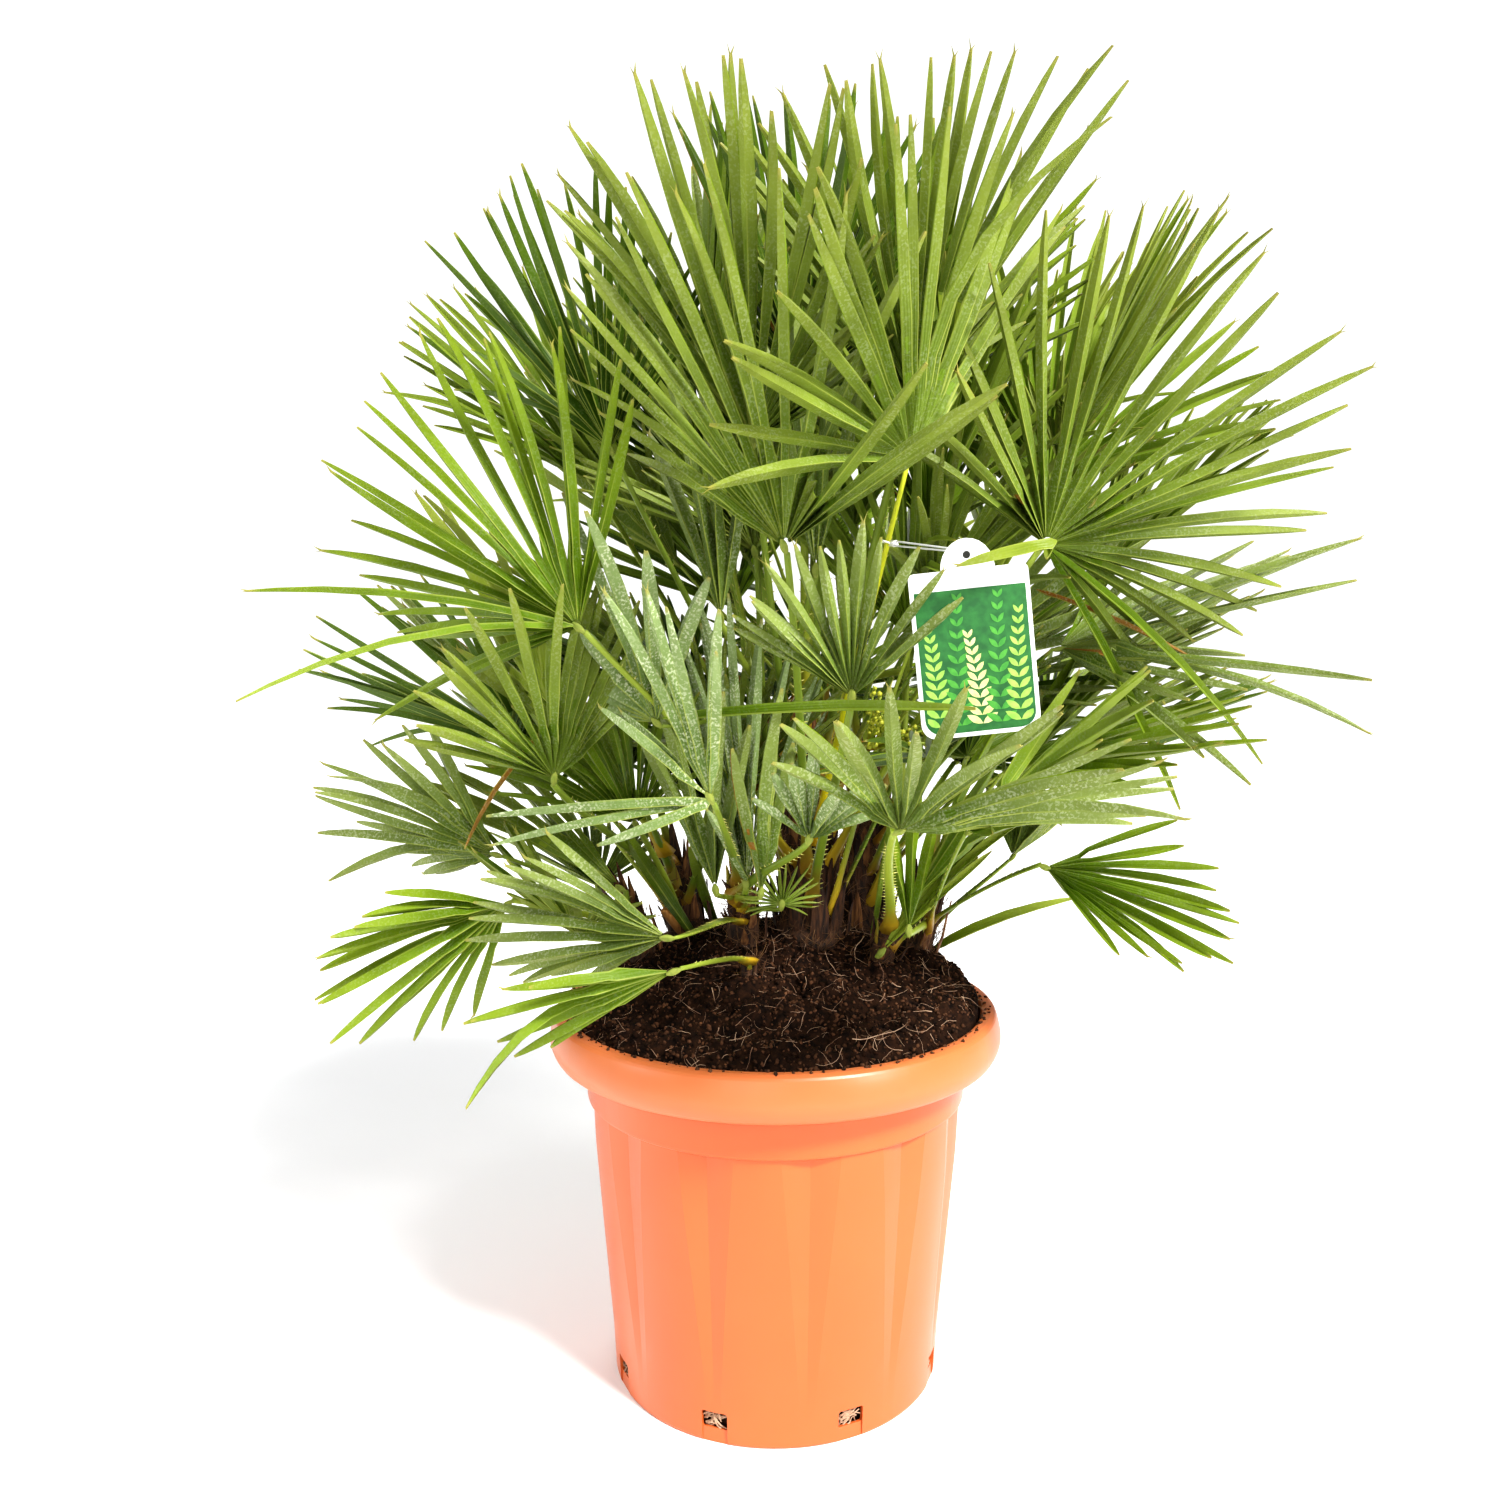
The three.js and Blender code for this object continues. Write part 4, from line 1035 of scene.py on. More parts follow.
def leaflet_rows(frond, leaflet, dice):
    """Margin, rib and margin of each row, its upper way and its share of the length."""
    line, across, length, whole = (leaflet[name] for name in ("line", "across", "length", "whole"))
    upper = np.cross(line, across)
    root = length * frond["joined"]
    step = leaflet["step"]
    shoulder = root + (whole - root) * LEAFLET["shoulder"]
    half = min(leaflet["width"], 2 * shoulder * step) / 2 * dice.span(*LEAFLET_WIDTHS)
    twist = dice.span(-TWIST, TWIST)
    roll = dice.span(-ROLL, ROLL)
    sway = dice.span(-SWAY, SWAY) * whole
    arch = (dice.span(*ARCH) + frond.get("arch", 0.0)) * whole
    if dice.span(0, 1) < KINKED["odds"]:
        arch = dice.span(KINKED["least"], KINKED["most"]) * whole
    bent = across * sway - upper * arch

    def centre(reach):
        free = max(0.0, (reach - root) / max(whole - root, 1))
        drooped = UP * LEAFLET["droop"] * reach * reach / length
        return frond["hub"] + line * reach - drooped + bent * free**BEND_POWER

    tip = centre(whole)
    over = max(over_canopy(tip), *(tip - HIGH_CORNER), *(LOW_CORNER - tip))
    if over > 0:
        bent = bent * CANOPY["bend"]
        whole = max(root * STUB, whole - over * CANOPY["cut"])
    rows = []
    for share in PALM_ROWS:
        drooped = UP * LEAFLET["droop"] * (root * share) ** 2 / length
        rib = centre(root * share) - upper * half * math.sin(math.radians(FOLD_ANGLE)) * share
        low, high = (mix(frond["hub"], leaflet[end], share) - drooped for end in ("left", "right"))
        rows.append((np.array([low, rib, high]), upper, root * share / whole))
    if whole < root * STUB + 1:
        return rows
    for share, width in FREE_ROWS:
        reach = mix(root, whole, share)
        fold = math.radians(mix(FOLD_ANGLE, OPEN_ANGLE, share))
        wide = min(half * width * math.cos(fold), CROWDED * reach * math.tan(step / 2))
        turn = twist * share + roll * smooth(share * 3)
        side = turned_about(across, line, turn)
        lift = turned_about(upper, line, turn)
        sunk = (abs(SIDES) - 1) * half * width * math.sin(fold)
        row = centre(reach) + side * wide * SIDES[:, None] + lift * sunk[:, None]
        rows.append((row, lift, reach / whole))
    return rows


def leaflet_mesh(heap, frond, leaflet, tint, under, dice):
    """One closed leaflet of some fifty faces."""
    rows = leaflet_rows(frond, leaflet, dice)
    sides = 2 * len(SIDES)
    points = [point for row, lift, _ in rows for point in around(row, lift, SKIN)]
    places = [(u, share) for _, _, share in rows for u in ROW_PLACES]
    faces = [tuple(reversed(range(sides))), *loft_faces(len(rows), sides)]
    slots = [tint] + [under, under, tint, tint, tint, tint] * (len(rows) - 1)
    last = (len(rows) - 1) * sides
    if len(rows) > len(PALM_ROWS) and dice.span(0, 1) < FORK["odds"]:
        row, _, _ = rows[-1]
        ahead = unit(row[1] - rows[-2][0][1])
        side = unit(row[2] - row[0])
        for way, corners in ((-1, (0, 1, 4, 5)), (1, (1, 2, 3, 4))):
            reach = ahead * FORK["long"] * dice.span(0.5, 1)
            points.append(row[1 + way] + reach + side * way * FORK["apart"])
            places.append((0.5, 1.0))
            end = len(points) - 1
            faces.extend((last + corners[turn], last + corners[(turn + 1) % 4], end) for turn in range(4))
            slots.extend([tint] * 4)
    else:
        faces.append(tuple(range(last, last + sides)))
        slots.append(tint)
    heap.add(points, faces, slots, places)


STRAP = {"sunk": 4, "joined": 0.08, "step": 1.2, "foot_width": 0.22, "askew": (0.02, 0.3, 0.01), "flat": 0.8}


def strap(heap, start, end, width, arch, tint, dice):
    """A lone leaf from its foot to its tip."""
    x, y, z = start
    foot = np.array([x, y, soil_height(x, y) - STRAP["sunk"] if z is None else z])
    reach = np.array(end) - foot
    length = np.linalg.norm(reach)
    line = reach / length
    level = np.cross(UP, line)
    across = unit(np.cross(line, level + STRAP["askew"]) + level * STRAP["flat"])
    across = unit(across - line * np.dot(across, line))
    frond = {"hub": foot, "joined": STRAP["joined"], "arch": arch}
    root = foot + line * length * STRAP["joined"]
    leaf = {
        "line": line, "across": across, "length": length, "whole": length, "width": width,
        "step": STRAP["step"], "left": root - across * width * STRAP["foot_width"],
        "right": root + across * width * STRAP["foot_width"],
    }
    leaflet_mesh(heap, frond, leaf, tint, tint, dice)


HUB = {
    "rings": 5, "sides": 8, "thin": 0.12, "low": -5.0, "high": 4.5, "sunk": 0.8, "wide": 2.6, "deep": 1.9,
}


def hub_mesh(heap, frond):
    """The low scale of cork where the blade meets its stalk."""
    axis, across, normal = (frond["frame"][name] for name in ("axis", "side", "normal"))
    points = []
    for ring in range(HUB["rings"]):
        share = ring / (HUB["rings"] - 1)
        bulk = math.sin(math.pi * mix(HUB["thin"], 1 - HUB["thin"], share))
        middle = frond["hub"] + axis * mix(HUB["low"], HUB["high"], share) - normal * HUB["sunk"]
        for side in range(HUB["sides"]):
            angle = 2 * math.pi * side / HUB["sides"]
            wide, deep = across * math.cos(angle) * HUB["wide"], normal * math.sin(angle) * HUB["deep"]
            points.append(middle + wide * bulk - deep * bulk)
    heap.add(points, capped(HUB["rings"], HUB["sides"]), CORK)


# Leaf stalks: half round, channelled above, widening into the sheath at the foot.
STALK_SECTION = [
    (-1, 0.25), (-0.75, -0.55), (0, -0.9), (0.75, -0.55), (1, 0.25), (0.55, 0.5), (0, 0.3), (-0.55, 0.5),
]
STALK = {
    "steps": 14, "slim": 0.86, "taper": 0.8, "flare": 4.5, "flare_share": 0.14, "flare_power": 1.5,
    "foot_depth": 0.62, "hub_depth": 0.75, "ease": 0.85, "straighter": 0.5, "third": 0.33, "near": 0.01,
}
TEETH = {"pitch": 7.5, "first": 0.08, "last": 0.86, "long": 3.6, "out": 0.95, "up": 0.15, "ahead": 0.8}


def stalk_curve(frond):
    """The solid's curve, eased where it turns into the blade."""
    start, rising, arriving, end = frond["curve"]
    straight = unit(end - start)
    ahead = unit(mix(unit(end - arriving), straight, STALK["ease"]))
    eased = mix(rising, mix(start, end, STALK["third"]), STALK["straighter"])
    return start, eased, end - ahead * np.linalg.norm(end - arriving), end


def stalk_steps(frond):
    """Middle, way, side, upper way, half width and share of each step of a leaf stalk."""
    curve = stalk_curve(frond)
    foot, tip = stem_line(frond["stem"])
    out = unit((curve[0] - mix(foot, tip, frond["foot_share"])) * (1, 1, 0) + polar(0.001, 0))
    steps = []
    for step in range(STALK["steps"] + 1):
        share = step / STALK["steps"]
        after, before = min(share + STALK["near"], 1), max(share - STALK["near"], 0)
        way = unit(bezier(curve, after) - bezier(curve, before))
        side = unit(np.cross(way, mix(-out, frond["frame"]["normal"], share)))
        taper = share ** STALK["taper"]
        half = mix(PETIOLE["foot_radius"], PETIOLE["hub_radius"], taper) * STALK["slim"]
        half += STALK["flare"] * max(0.0, 1 - share / STALK["flare_share"]) ** STALK["flare_power"]
        steps.append((bezier(curve, share), way, side, np.cross(side, way), half, share))
    return steps


def stalk_mesh(heap, frond, slot):
    points, places = [], []
    for middle, _, side, upper, half, share in stalk_steps(frond):
        depth = mix(STALK["foot_depth"], STALK["hub_depth"], share)
        for x, y in STALK_SECTION:
            points.append(middle + side * x * half + upper * y * half * depth)
            places.append(((x + 1) / 2, share))
    heap.add(points, capped(STALK["steps"] + 1, len(STALK_SECTION)), slot, places)


def tooth(heap, dice):
    """A small flat spine, its foot sunk a little."""
    foot = [(x, y, -0.4) for x, y in ((-0.55, -0.4), (0.55, -0.4), (0.55, 0.4), (-0.55, 0.4))]
    points = np.array([*foot, (dice.span(0, 0.8), 0, 1)]) * (1.0, 1.0, TEETH["long"])
    heap.add(points, [(3, 2, 1, 0), (0, 1, 4), (1, 2, 4), (2, 3, 4), (3, 0, 4)], 0)


def tooth_spots(frond):
    """Where the teeth of a stalk sit and which way they point."""
    steps = stalk_steps(frond)
    length = sum(np.linalg.norm(two[0] - one[0]) for one, two in zip(steps, steps[1:]))
    count = int(length * (TEETH["last"] - TEETH["first"]) / TEETH["pitch"])
    for place in range(count):
        share = mix(TEETH["first"], TEETH["last"], (place + 0.5) / count) * STALK["steps"]
        low = int(share)
        beside = zip(steps[low], steps[low + 1])
        middle, way, side, upper, half, _ = (mix(one, two, share - low) for one, two in beside)
        for margin in (-1, 1):
            spot = middle + side * half * margin * TEETH["out"] + upper * half * TEETH["up"]
            yield spot, side * margin + way * TEETH["ahead"]


# The crown: every stem's fans and stalks, dealt their finishes, then the lone leaves.
SHOWN_TINTS = (
    LIT_BRIGHT, MIDDLE, MIDDLE, GREY, GREY, MIDDLE, GREY, GREY,
    MIDDLE, MIDDLE, MIDDLE, SILVER, MIDDLE, LIT_BRIGHT, GREY, MIDDLE,
)
EXTRA_TINTS = (SILVER, SHADE_DEEP, LIT_YELLOW, LIT_YELLOW)
YOUNG_TINTS = {"left_sucker": (LIT_BRIGHT, LIT_YELLOW), "side_shoot": (LIT_BRIGHT, MIDDLE)}
STRAP_TINTS = {
    "drooping": (MIDDLE, LIT_BRIGHT), "silvered": (SILVER,), "dried": (DRIED,), "shoots": (LIT_BRIGHT, MIDDLE),
    "lying": (LIT_YELLOW,),
}
# Fans under this height, and fans on the shaded side, get the painted shade green; fans past the lit side get
# painted light.
LOW_CROWN = 520
LIT_SIDE = 50
HIGH_STALKS = 450
TINT_ODDS = {"dried": 0.988, "other": 0.75}


def leaf_tints(frond):
    """The finishes for a fan's place: painted shade low and on the shaded side, painted light on the lit
    side.
    """
    kind, number = frond["node"].rsplit("_", 1)
    if kind == "extra":
        return (EXTRA_TINTS[int(number) - 1],)
    if frond["young"]:
        return YOUNG_TINTS.get(frond["stem"], (SILVER, GREY))
    if not frond["ring"]:
        main = SHOWN_TINTS[int(number) - 1]
        return (main, main, main, MIDDLE) if main != SILVER else (main,)
    x, _, height = frond["hub"]
    if height < LOW_CROWN:
        return (SHADE_DEEP, SHADE_DEEP, MIDDLE, GREY)
    if x < LIT_SIDE:
        return (SHADE_DEEP, SHADE_DEEP, MIDDLE, MIDDLE, GREY, LIT_BRIGHT)
    return (MIDDLE, MIDDLE, LIT_BRIGHT, LIT_BRIGHT, LIT_YELLOW)


def stalk_tint(frond, dice):
    if frond["node"] == "frond_01":
        return YELLOW_STALK
    high = frond["hub"][2] > HIGH_STALKS
    return dice.pick((GREEN_STALK, GREEN_STALK if high else SHADED_STALK, SHADED_STALK))


fronds = [*grow_palm(), *plant_extra()]
by_stem = {}
for frond in fronds:
    by_stem.setdefault((frond["stem"], frond["young"]), []).append(frond)
dice = Dice(SEEDS["tints"])
for (stem, young), group in by_stem.items():
    kind = "young_fans" if young else "fans"
    leaves = Heap()
    stalks = Heap()
    for frond in group:
        main = dice.pick(leaf_tints(frond))
        under = dice.pick((main, main if main in (GREY, SILVER) else UNDERSIDE))
        for leaflet in finer(frond, dice):
            odds = dice.span(0, 1)
            tint = main
            if odds > TINT_ODDS["dried"]:
                tint = DRIED
            elif odds > TINT_ODDS["other"]:
                tint = dice.pick(leaf_tints(frond))
            leaflet_mesh(leaves, frond, leaflet, tint, under, dice)
        hub_mesh(leaves, frond)
        stalk_mesh(stalks, frond, stalk_tint(frond, dice))
    nodes = sorted({frond["node"] for frond in group if frond["node"] in frame["nodes"]})
    slot = "young_leaf" if young else "frond"
    declare(leaves.piece(f"{kind}_{stem}", LEAF_FINISHES, FOLD_SHARP), slot, *nodes)
    declare(stalks.piece(f"{kind}_stalks_{stem}", STALK_FINISHES), slot)
for kind, straps in STRAPS.items():
    lone = Heap()
    for start, end, width, arch in straps:
        strap(lone, start, end, width, arch, dice.pick(STRAP_TINTS[kind]), dice)
    declare(lone.piece(f"lone_leaves_{kind}", LEAF_FINISHES, FOLD_SHARP), "frond")

# A dry stalk cut off above the soil: its ends and their heights over the soil, then shares and radii.
CUT_ENDS = ((-66, 66, -4), (-85, 54, 27))
CUT_RADII = {0: 4.2, 0.35: 4.0, 0.7: 3.6, 0.96: 3.2, 1: 2.3}

cut_stalk = Heap()
cut_foot, cut_top = (np.array([x, y, soil_height(x, y) + over]) for x, y, over in CUT_ENDS)
tube(cut_stalk, [mix(cut_foot, cut_top, share) for share in CUT_RADII], CUT_RADII.values(), 10, 0)
cut_skin = mottled("cut_stalk_dry_tan", "#c08a4c", "#8e5f34", 5, 0.7, 0.7, 0.5, gloss=0.2, upright=4.0)
declare(cut_stalk.piece("cut_stalk", [cut_skin]), "frond")

# Pot: injection-moulded polypropylene, a satin skin that shows broad soft highlights on its rolled rim.
FOOT_CORNERS = [(112, 0), (115.4, 0), (116.5, 0.6), (117, 2)]
WALL = {
    "heights": (0, 2, 30, 163.2, 203), "radii": (115, 117, 118.4, 130, 132), "low": 5, "high": 202.2,
    "rows": 16,
}
BAND_CORNERS = [
    (132, 203), (133.6, 203.3), (134.5, 204), (134.8, 205.2), (136, 231.4), (136.6, 232.6), (138.5, 233),
]
RIM_CORNERS = [(11, 0), (4, 3), (0, 11), (0, 19), (3, 30), (7, 33)]
LIP_CORNERS = [(149.5, 266.2), (147.4, 265.6)]
INNER_WALL = [(146, 264), (146, 250), (131, 233), (127, 204), (113.5, 3)]
# The flutes are facets that meet in a valley, deepest under the band.
FLUTE = {"depth": 4.4, "power": 0.7, "under_band": 0.8, "deepest": 0.97, "between": 5}
FLUTE_COLUMNS = (-1, -0.99, -0.6, -0.3, 0, 0.08, 0.4, 0.7, 0.99, 1)
CUTTER = {
    "past_wall": 10, "slot_inner": 98, "slot_corner": 1.5, "groove_low": -4, "groove_up": 3,
    "groove_corner": 0.6,
}
POT_SHARP = 8


def flute_share(z):
    return min(max((z - POT["flute_foot"]) / (POT["band_height"] - POT["flute_foot"]), 0), 1)


def wall_radius(z):
    return float(np.interp(z, WALL["heights"], WALL["radii"]))


def rounded(corners, steps):
    """A smooth line through corners."""
    ends = [corners[0], *corners, corners[-1]]
    line = []
    for place in range(len(corners) - 1):
        a, b, c, d = (np.array(ends[place + step], dtype=float) for step in range(4))
        for step in range(steps):
            t = step / steps
            curved = (2 * a - 5 * b + 4 * c - d) * t**2 + (3 * b - a - 3 * c + d) * t**3
            line.append(0.5 * (2 * b + (c - a) * t + curved))
    return [*line, np.array(corners[-1], dtype=float)]


def pot_profile():
    """Radius and height of each ring, from the underside over the rim and down inside."""
    wall = [(wall_radius(z), z) for z in np.linspace(WALL["low"], WALL["high"], WALL["rows"])]
    rim = rounded([(POT["rim_radius"] - inward, POT["rim_under"] + up) for inward, up in RIM_CORNERS], 4)
    return [*FOOT_CORNERS, *wall, *BAND_CORNERS, *rim, *LIP_CORNERS, *INNER_WALL]


def pot_ring(radius, z):
    plain = z > POT["band_height"] or radius < wall_radius(z) - 1
    half = mix(POT["flute_foot_half"], POT["flute_top_half"], 1 if plain else flute_share(z))
    depth = FLUTE["depth"] * flute_share(z) ** FLUTE["power"]
    if plain or z > POT["band_height"] - FLUTE["under_band"]:
        depth = 0
    step = FULL_TURN / POT["flutes"]
    between = FLUTE["between"] + 1
    ring = []
    for flute in range(POT["flutes"]):
        centre = POT["first_flute"] + flute * step
        for column in FLUTE_COLUMNS:
            hollow = min(1 - abs(column), FLUTE["deepest"]) * depth
            ring.append(polar(radius - hollow, centre + column * half, z))
        for column in range(1, between):
            ring.append(polar(radius, centre + half + (step - 2 * half) * column / between, z))
    return ring


def slot_cutter(name, inner, low, high, corner):
    """Rounded blocks round the foot of the pot, one for each drain slot."""
    made = bmesh.new()
    outer = POT["foot_radius"] + CUTTER["past_wall"]
    for slot in range(POT["slots"]):
        block = bmesh.ops.create_cube(made, size=1)["verts"]
        size = Vector((outer - inner, POT["slot_width"], high - low)) * MM
        bmesh.ops.scale(made, vec=size, verts=block)
        edges = {edge for corner_point in block for edge in corner_point.link_edges}
        along = [edge for edge in edges if abs(edge.verts[0].co.x - edge.verts[1].co.x) > 0.9 * size.x]
        rounded_off = bmesh.ops.bevel(
            made, geom=along, offset=corner * MM, segments=3, affect="EDGES", profile=0.5
        )
        points = list({corner_point for face in rounded_off["faces"] for corner_point in face.verts})
        bmesh.ops.translate(made, vec=Vector(((outer + inner) / 2, 0, (low + high) / 2)) * MM, verts=points)
        turn = math.radians(POT["first_slot"] + slot * FULL_TURN / POT["slots"])
        bmesh.ops.rotate(made, cent=(0, 0, 0), matrix=Euler((0, 0, turn)).to_matrix(), verts=points)
    mesh = bpy.data.meshes.new(name)
    made.to_mesh(mesh)
    made.free()
    return link(name, mesh)


def applied(piece):
    """The piece's mesh with its modifiers in it."""
    graph = bpy.context.evaluated_depsgraph_get()
    mesh = bpy.data.meshes.new_from_object(piece.evaluated_get(graph), depsgraph=graph)
    piece.modifiers.clear()
    piece.data = mesh
    return piece


def remove(*pieces):
    for piece in pieces:
        bpy.data.objects.remove(piece, do_unlink=True)


# The rim is painted a little paler than the wall: a painted highlight.
pot_skins = [
    mottled(name, colour, other, size, 0.5, rough, 0.05, 0.8, ior=POLYPROPYLENE_IOR)
    for name, colour, other, size, rough in (
        ("polypropylene_moulded_terracotta", "#c8622e", "#c25c2a", 90, 0.3),
        ("polypropylene_terracotta_painted_highlight", "#c87040", "#c26a3c", 60, 0.36),
    )
]
pot_heap = Heap()
pot_lines = pot_profile()
pot_rings = [pot_ring(radius, z) for radius, z in pot_lines]
pot_sides = len(pot_rings[0])
pot_faces = capped(len(pot_rings), pot_sides)
rim_start = next(row for row, (_, z) in enumerate(pot_lines) if z > POT["rim_under"] - 1) * pot_sides
pot_heap.add(np.concatenate(pot_rings), pot_faces, [int(min(face) >= rim_start) for face in pot_faces])
pot = pot_heap.piece("pot_shell", pot_skins)
slots = slot_cutter(
    "slots", CUTTER["slot_inner"], POT["slot_low"], POT["slot_high"], CUTTER["slot_corner"]
)
grooves = slot_cutter(
    "grooves", POT["foot_radius"] - POT["groove_depth"], CUTTER["groove_low"],
    POT["slot_low"] + CUTTER["groove_up"], CUTTER["groove_corner"],
)
for cutter in (slots, grooves):
    cut = pot.modifiers.new("cut", "BOOLEAN")
    cut.operation = "DIFFERENCE"
    cut.solver = "EXACT"
    cut.object = cutter
applied(pot)
remove(slots, grooves)
pot.data.set_sharp_from_angle(angle=math.radians(POT_SHARP))
declare(pot, "pot", "pot")

# Soil: peat, near black, in crumbs with pale roots.
SOIL_EDGE = 144.2
SOIL_WALL = ((113.5, 3.4), (127, 204), (131, 233), (146, 250))
SOIL_COLUMNS = 280
SOIL_RINGS = 76
# How the mound meets the wall: its gap, its rings' crowding, and the widths of its bank and its calm edge.
BANK = {"gap": 1.3, "power": 0.85, "width": 11, "calm": 3, "calm_width": 9}
# Sizes across and heights of the soil's relief, in millimetres.
LUMPS = (28, 6.5)
CLODS = (11, 7.0)
GRIT = (4.5, 2.8)
CLOD_LEVEL = 0.45


def soil_noise(x, y):
    """Round clods and grit on low lumps."""
    lumps = noise.fractal((x / LUMPS[0], y / LUMPS[0], 0.3), 1.0, 2.0, 3) * LUMPS[1]
    for size, proud in (CLODS, GRIT):
        near_one = noise.voronoi(Vector((x / size, y / size, size)))[0][0]
        lumps += (CLOD_LEVEL - near_one) * proud
    return lumps


def soil_rings():
    turns = [column * FULL_TURN / SOIL_COLUMNS for column in range(SOIL_COLUMNS)]
    rings = [[polar(radius - BANK["gap"], turn, z) for turn in turns] for radius, z in SOIL_WALL]
    for row in range(SOIL_RINGS):
        radius = SOIL_EDGE * (1 - row / SOIL_RINGS) ** BANK["power"]
        inward = SOIL_EDGE - radius
        ring = []
        for turn in turns:
            point = polar(radius, turn)
            open_soil = float(soil_height(point[0], point[1]))
            at_wall = min(open_soil, POT["rim_top"] + SOIL["proud"]) - SOIL["edge"]
            banked = mix(at_wall, open_soil, smooth(inward / BANK["width"]))
            calm = smooth((inward + BANK["calm"]) / BANK["calm_width"])
            point[2] = banked + soil_noise(point[0], point[1]) * calm
            ring.append(point)
        rings.append(ring)
    return rings


def variants(name, make, count):
    """A collection of several small shapes to scatter."""
    kinds = bpy.data.collections.new(name)
    for kind in range(count):
        heap = Heap()
        make(heap, Dice(SEEDS["kinds"] + kind * SEEDS["kinds_step"]))
        piece = heap.piece(f"{name}_{kind}", [])
        bpy.context.collection.objects.unlink(piece)
        kinds.objects.link(piece)
    return kinds


CRUMB = {"uneven": (0.6, 1.25), "flat": (1, 1, 0.75)}
ROOTLET = {"steps": 8, "long": (10, 32), "turn": 9, "stray": 20, "rise": (-0.5, 0.6), "radii": (0.2, 0.06)}
FIBRE = {"long": (12, 34), "bend": 8, "lift": (1.0, 4.0)}
# Share of the length and radius of each ring of a fibre.
FIBRE_RINGS = {0: 0.3, 0.4: 0.26, 0.75: 0.18, 1: 0.05}


def ball_mesh(radius):
    """Points and faces of a small ball."""
    ball = bmesh.new()
    bmesh.ops.create_icosphere(ball, subdivisions=1, radius=radius)
    points = [np.array(point.co) for point in ball.verts]
    faces = [tuple(corner.index for corner in face.verts) for face in ball.faces]
    ball.free()
    return points, faces


def crumb(heap, dice):
    """A lump some two millimetres across."""
    points, faces = ball_mesh(1.0)
    heap.add([point * dice.span(*CRUMB["uneven"]) * CRUMB["flat"] for point in points], faces, 0)


def rootlet(heap, dice):
    """A curly root some twenty millimetres long."""
    steps, length = ROOTLET["steps"], dice.span(*ROOTLET["long"])
    heading, path = 0.0, [np.array([-length / 2, 0.0, 0.4])]
    turn = dice.span(-ROOTLET["turn"], ROOTLET["turn"])
    for _ in range(steps):
        heading += turn + dice.span(-ROOTLET["stray"], ROOTLET["stray"])
        path.append(path[-1] + polar(length / steps, heading, dice.span(*ROOTLET["rise"])))
    tube(heap, path, np.linspace(*ROOTLET["radii"], steps + 1), 4, 0)


def fibre(heap, dice):
    """A stiff hair of the leaf sheath."""
    length = dice.span(*FIBRE["long"])
    bend = dice.span(-FIBRE["bend"], FIBRE["bend"])
    path = [
        (share * length, bend * share * share, share * dice.span(*FIBRE["lift"])) for share in FIBRE_RINGS
    ]
    tube(heap, path, FIBRE_RINGS.values(), 3, 0)


def strewing_tree(name, own_inputs, stand):
    """A tree that sets a collection's small shapes on the points and turns that the function stand gives."""
    tree = bpy.data.node_groups.new(name, "GeometryNodeTree")
    for label, kind, value in (
        ("Geometry", "Geometry", None), ("Smallest", "Float", 0.5), ("Largest", "Float", 1.5), *own_inputs,
        ("Seed", "Int", 1), ("Kinds", "Collection", None), ("Finish", "Material", None),
    ):
        made = tree.interface.new_socket(name=label, in_out="INPUT", socket_type=f"NodeSocket{kind}")
        if value is not None:
            made.default_value = value
    tree.interface.new_socket(name="Geometry", in_out="OUTPUT", socket_type="NodeSocketGeometry")
    given = add_node(tree, "NodeGroupInput").outputs
    points, rotation = stand(tree, given)
    kinds = add_node(
        tree, "GeometryNodeCollectionInfo",
        {"Collection": given["Kinds"], "Separate Children": True, "Reset Children": True},
    )
    size = add_node(
        tree, "FunctionNodeRandomValue",
        {2: given["Smallest"], 3: given["Largest"], "Seed": given["Seed"]}, data_type="FLOAT",
    )
    placed = add_node(
        tree, "GeometryNodeInstanceOnPoints",
        {
            "Points": points, "Instance": kinds.outputs["Instances"], "Pick Instance": True,
            "Rotation": rotation, "Scale": size.outputs[1],
        },
    )
    real = add_node(tree, "GeometryNodeRealizeInstances", {"Geometry": placed.outputs["Instances"]})
    skinned = {"Geometry": real.outputs["Geometry"], "Material": given["Finish"]}
    finished = add_node(tree, "GeometryNodeSetMaterial", skinned)
    add_node(tree, "NodeGroupOutput", {"Geometry": finished.outputs["Geometry"]})
    return tree


def strewn(tree, given):
    """Points strewn over a surface, each tumbled and turned about the surface's own upright."""
    spots = add_node(
        tree, "GeometryNodeDistributePointsOnFaces",
        {"Mesh": given["Geometry"], "Density": given["Density"], "Seed": given["Seed"]},
    )
    back, turned = (
        add_node(tree, "ShaderNodeMath", {0: given[name], 1: -1.0}, operation="MULTIPLY").outputs[0]
        for name in ("Tumble", "Turn")
    )
    least, most = (
        add_node(tree, "ShaderNodeCombineXYZ", {"X": tumble, "Y": tumble, "Z": turn}).outputs[0]
        for tumble, turn in ((back, turned), (given["Tumble"], given["Turn"]))
    )
    tumble = add_node(
        tree, "FunctionNodeRandomValue", {0: least, 1: most, "Seed": given["Seed"]}, data_type="FLOAT_VECTOR"
    )
    rotation = add_node(
        tree, "FunctionNodeRotateRotation",
        {"Rotation": spots.outputs["Rotation"], "Rotate By": tumble.outputs[0]}, rotation_space="LOCAL",
    )
    return spots.outputs["Points"], rotation.outputs["Rotation"]


def outward_set(tree, given):
    """The given points, each turned to its own outward way."""
    outward = add_node(
        tree, "GeometryNodeInputNamedAttribute", {"Name": "outward"}, data_type="FLOAT_VECTOR"
    )
    rotation = add_node(
        tree, "FunctionNodeAlignRotationToVector", {"Vector": outward.outputs["Attribute"]}, axis="Z"
    )
    return given["Geometry"], rotation.outputs["Rotation"]


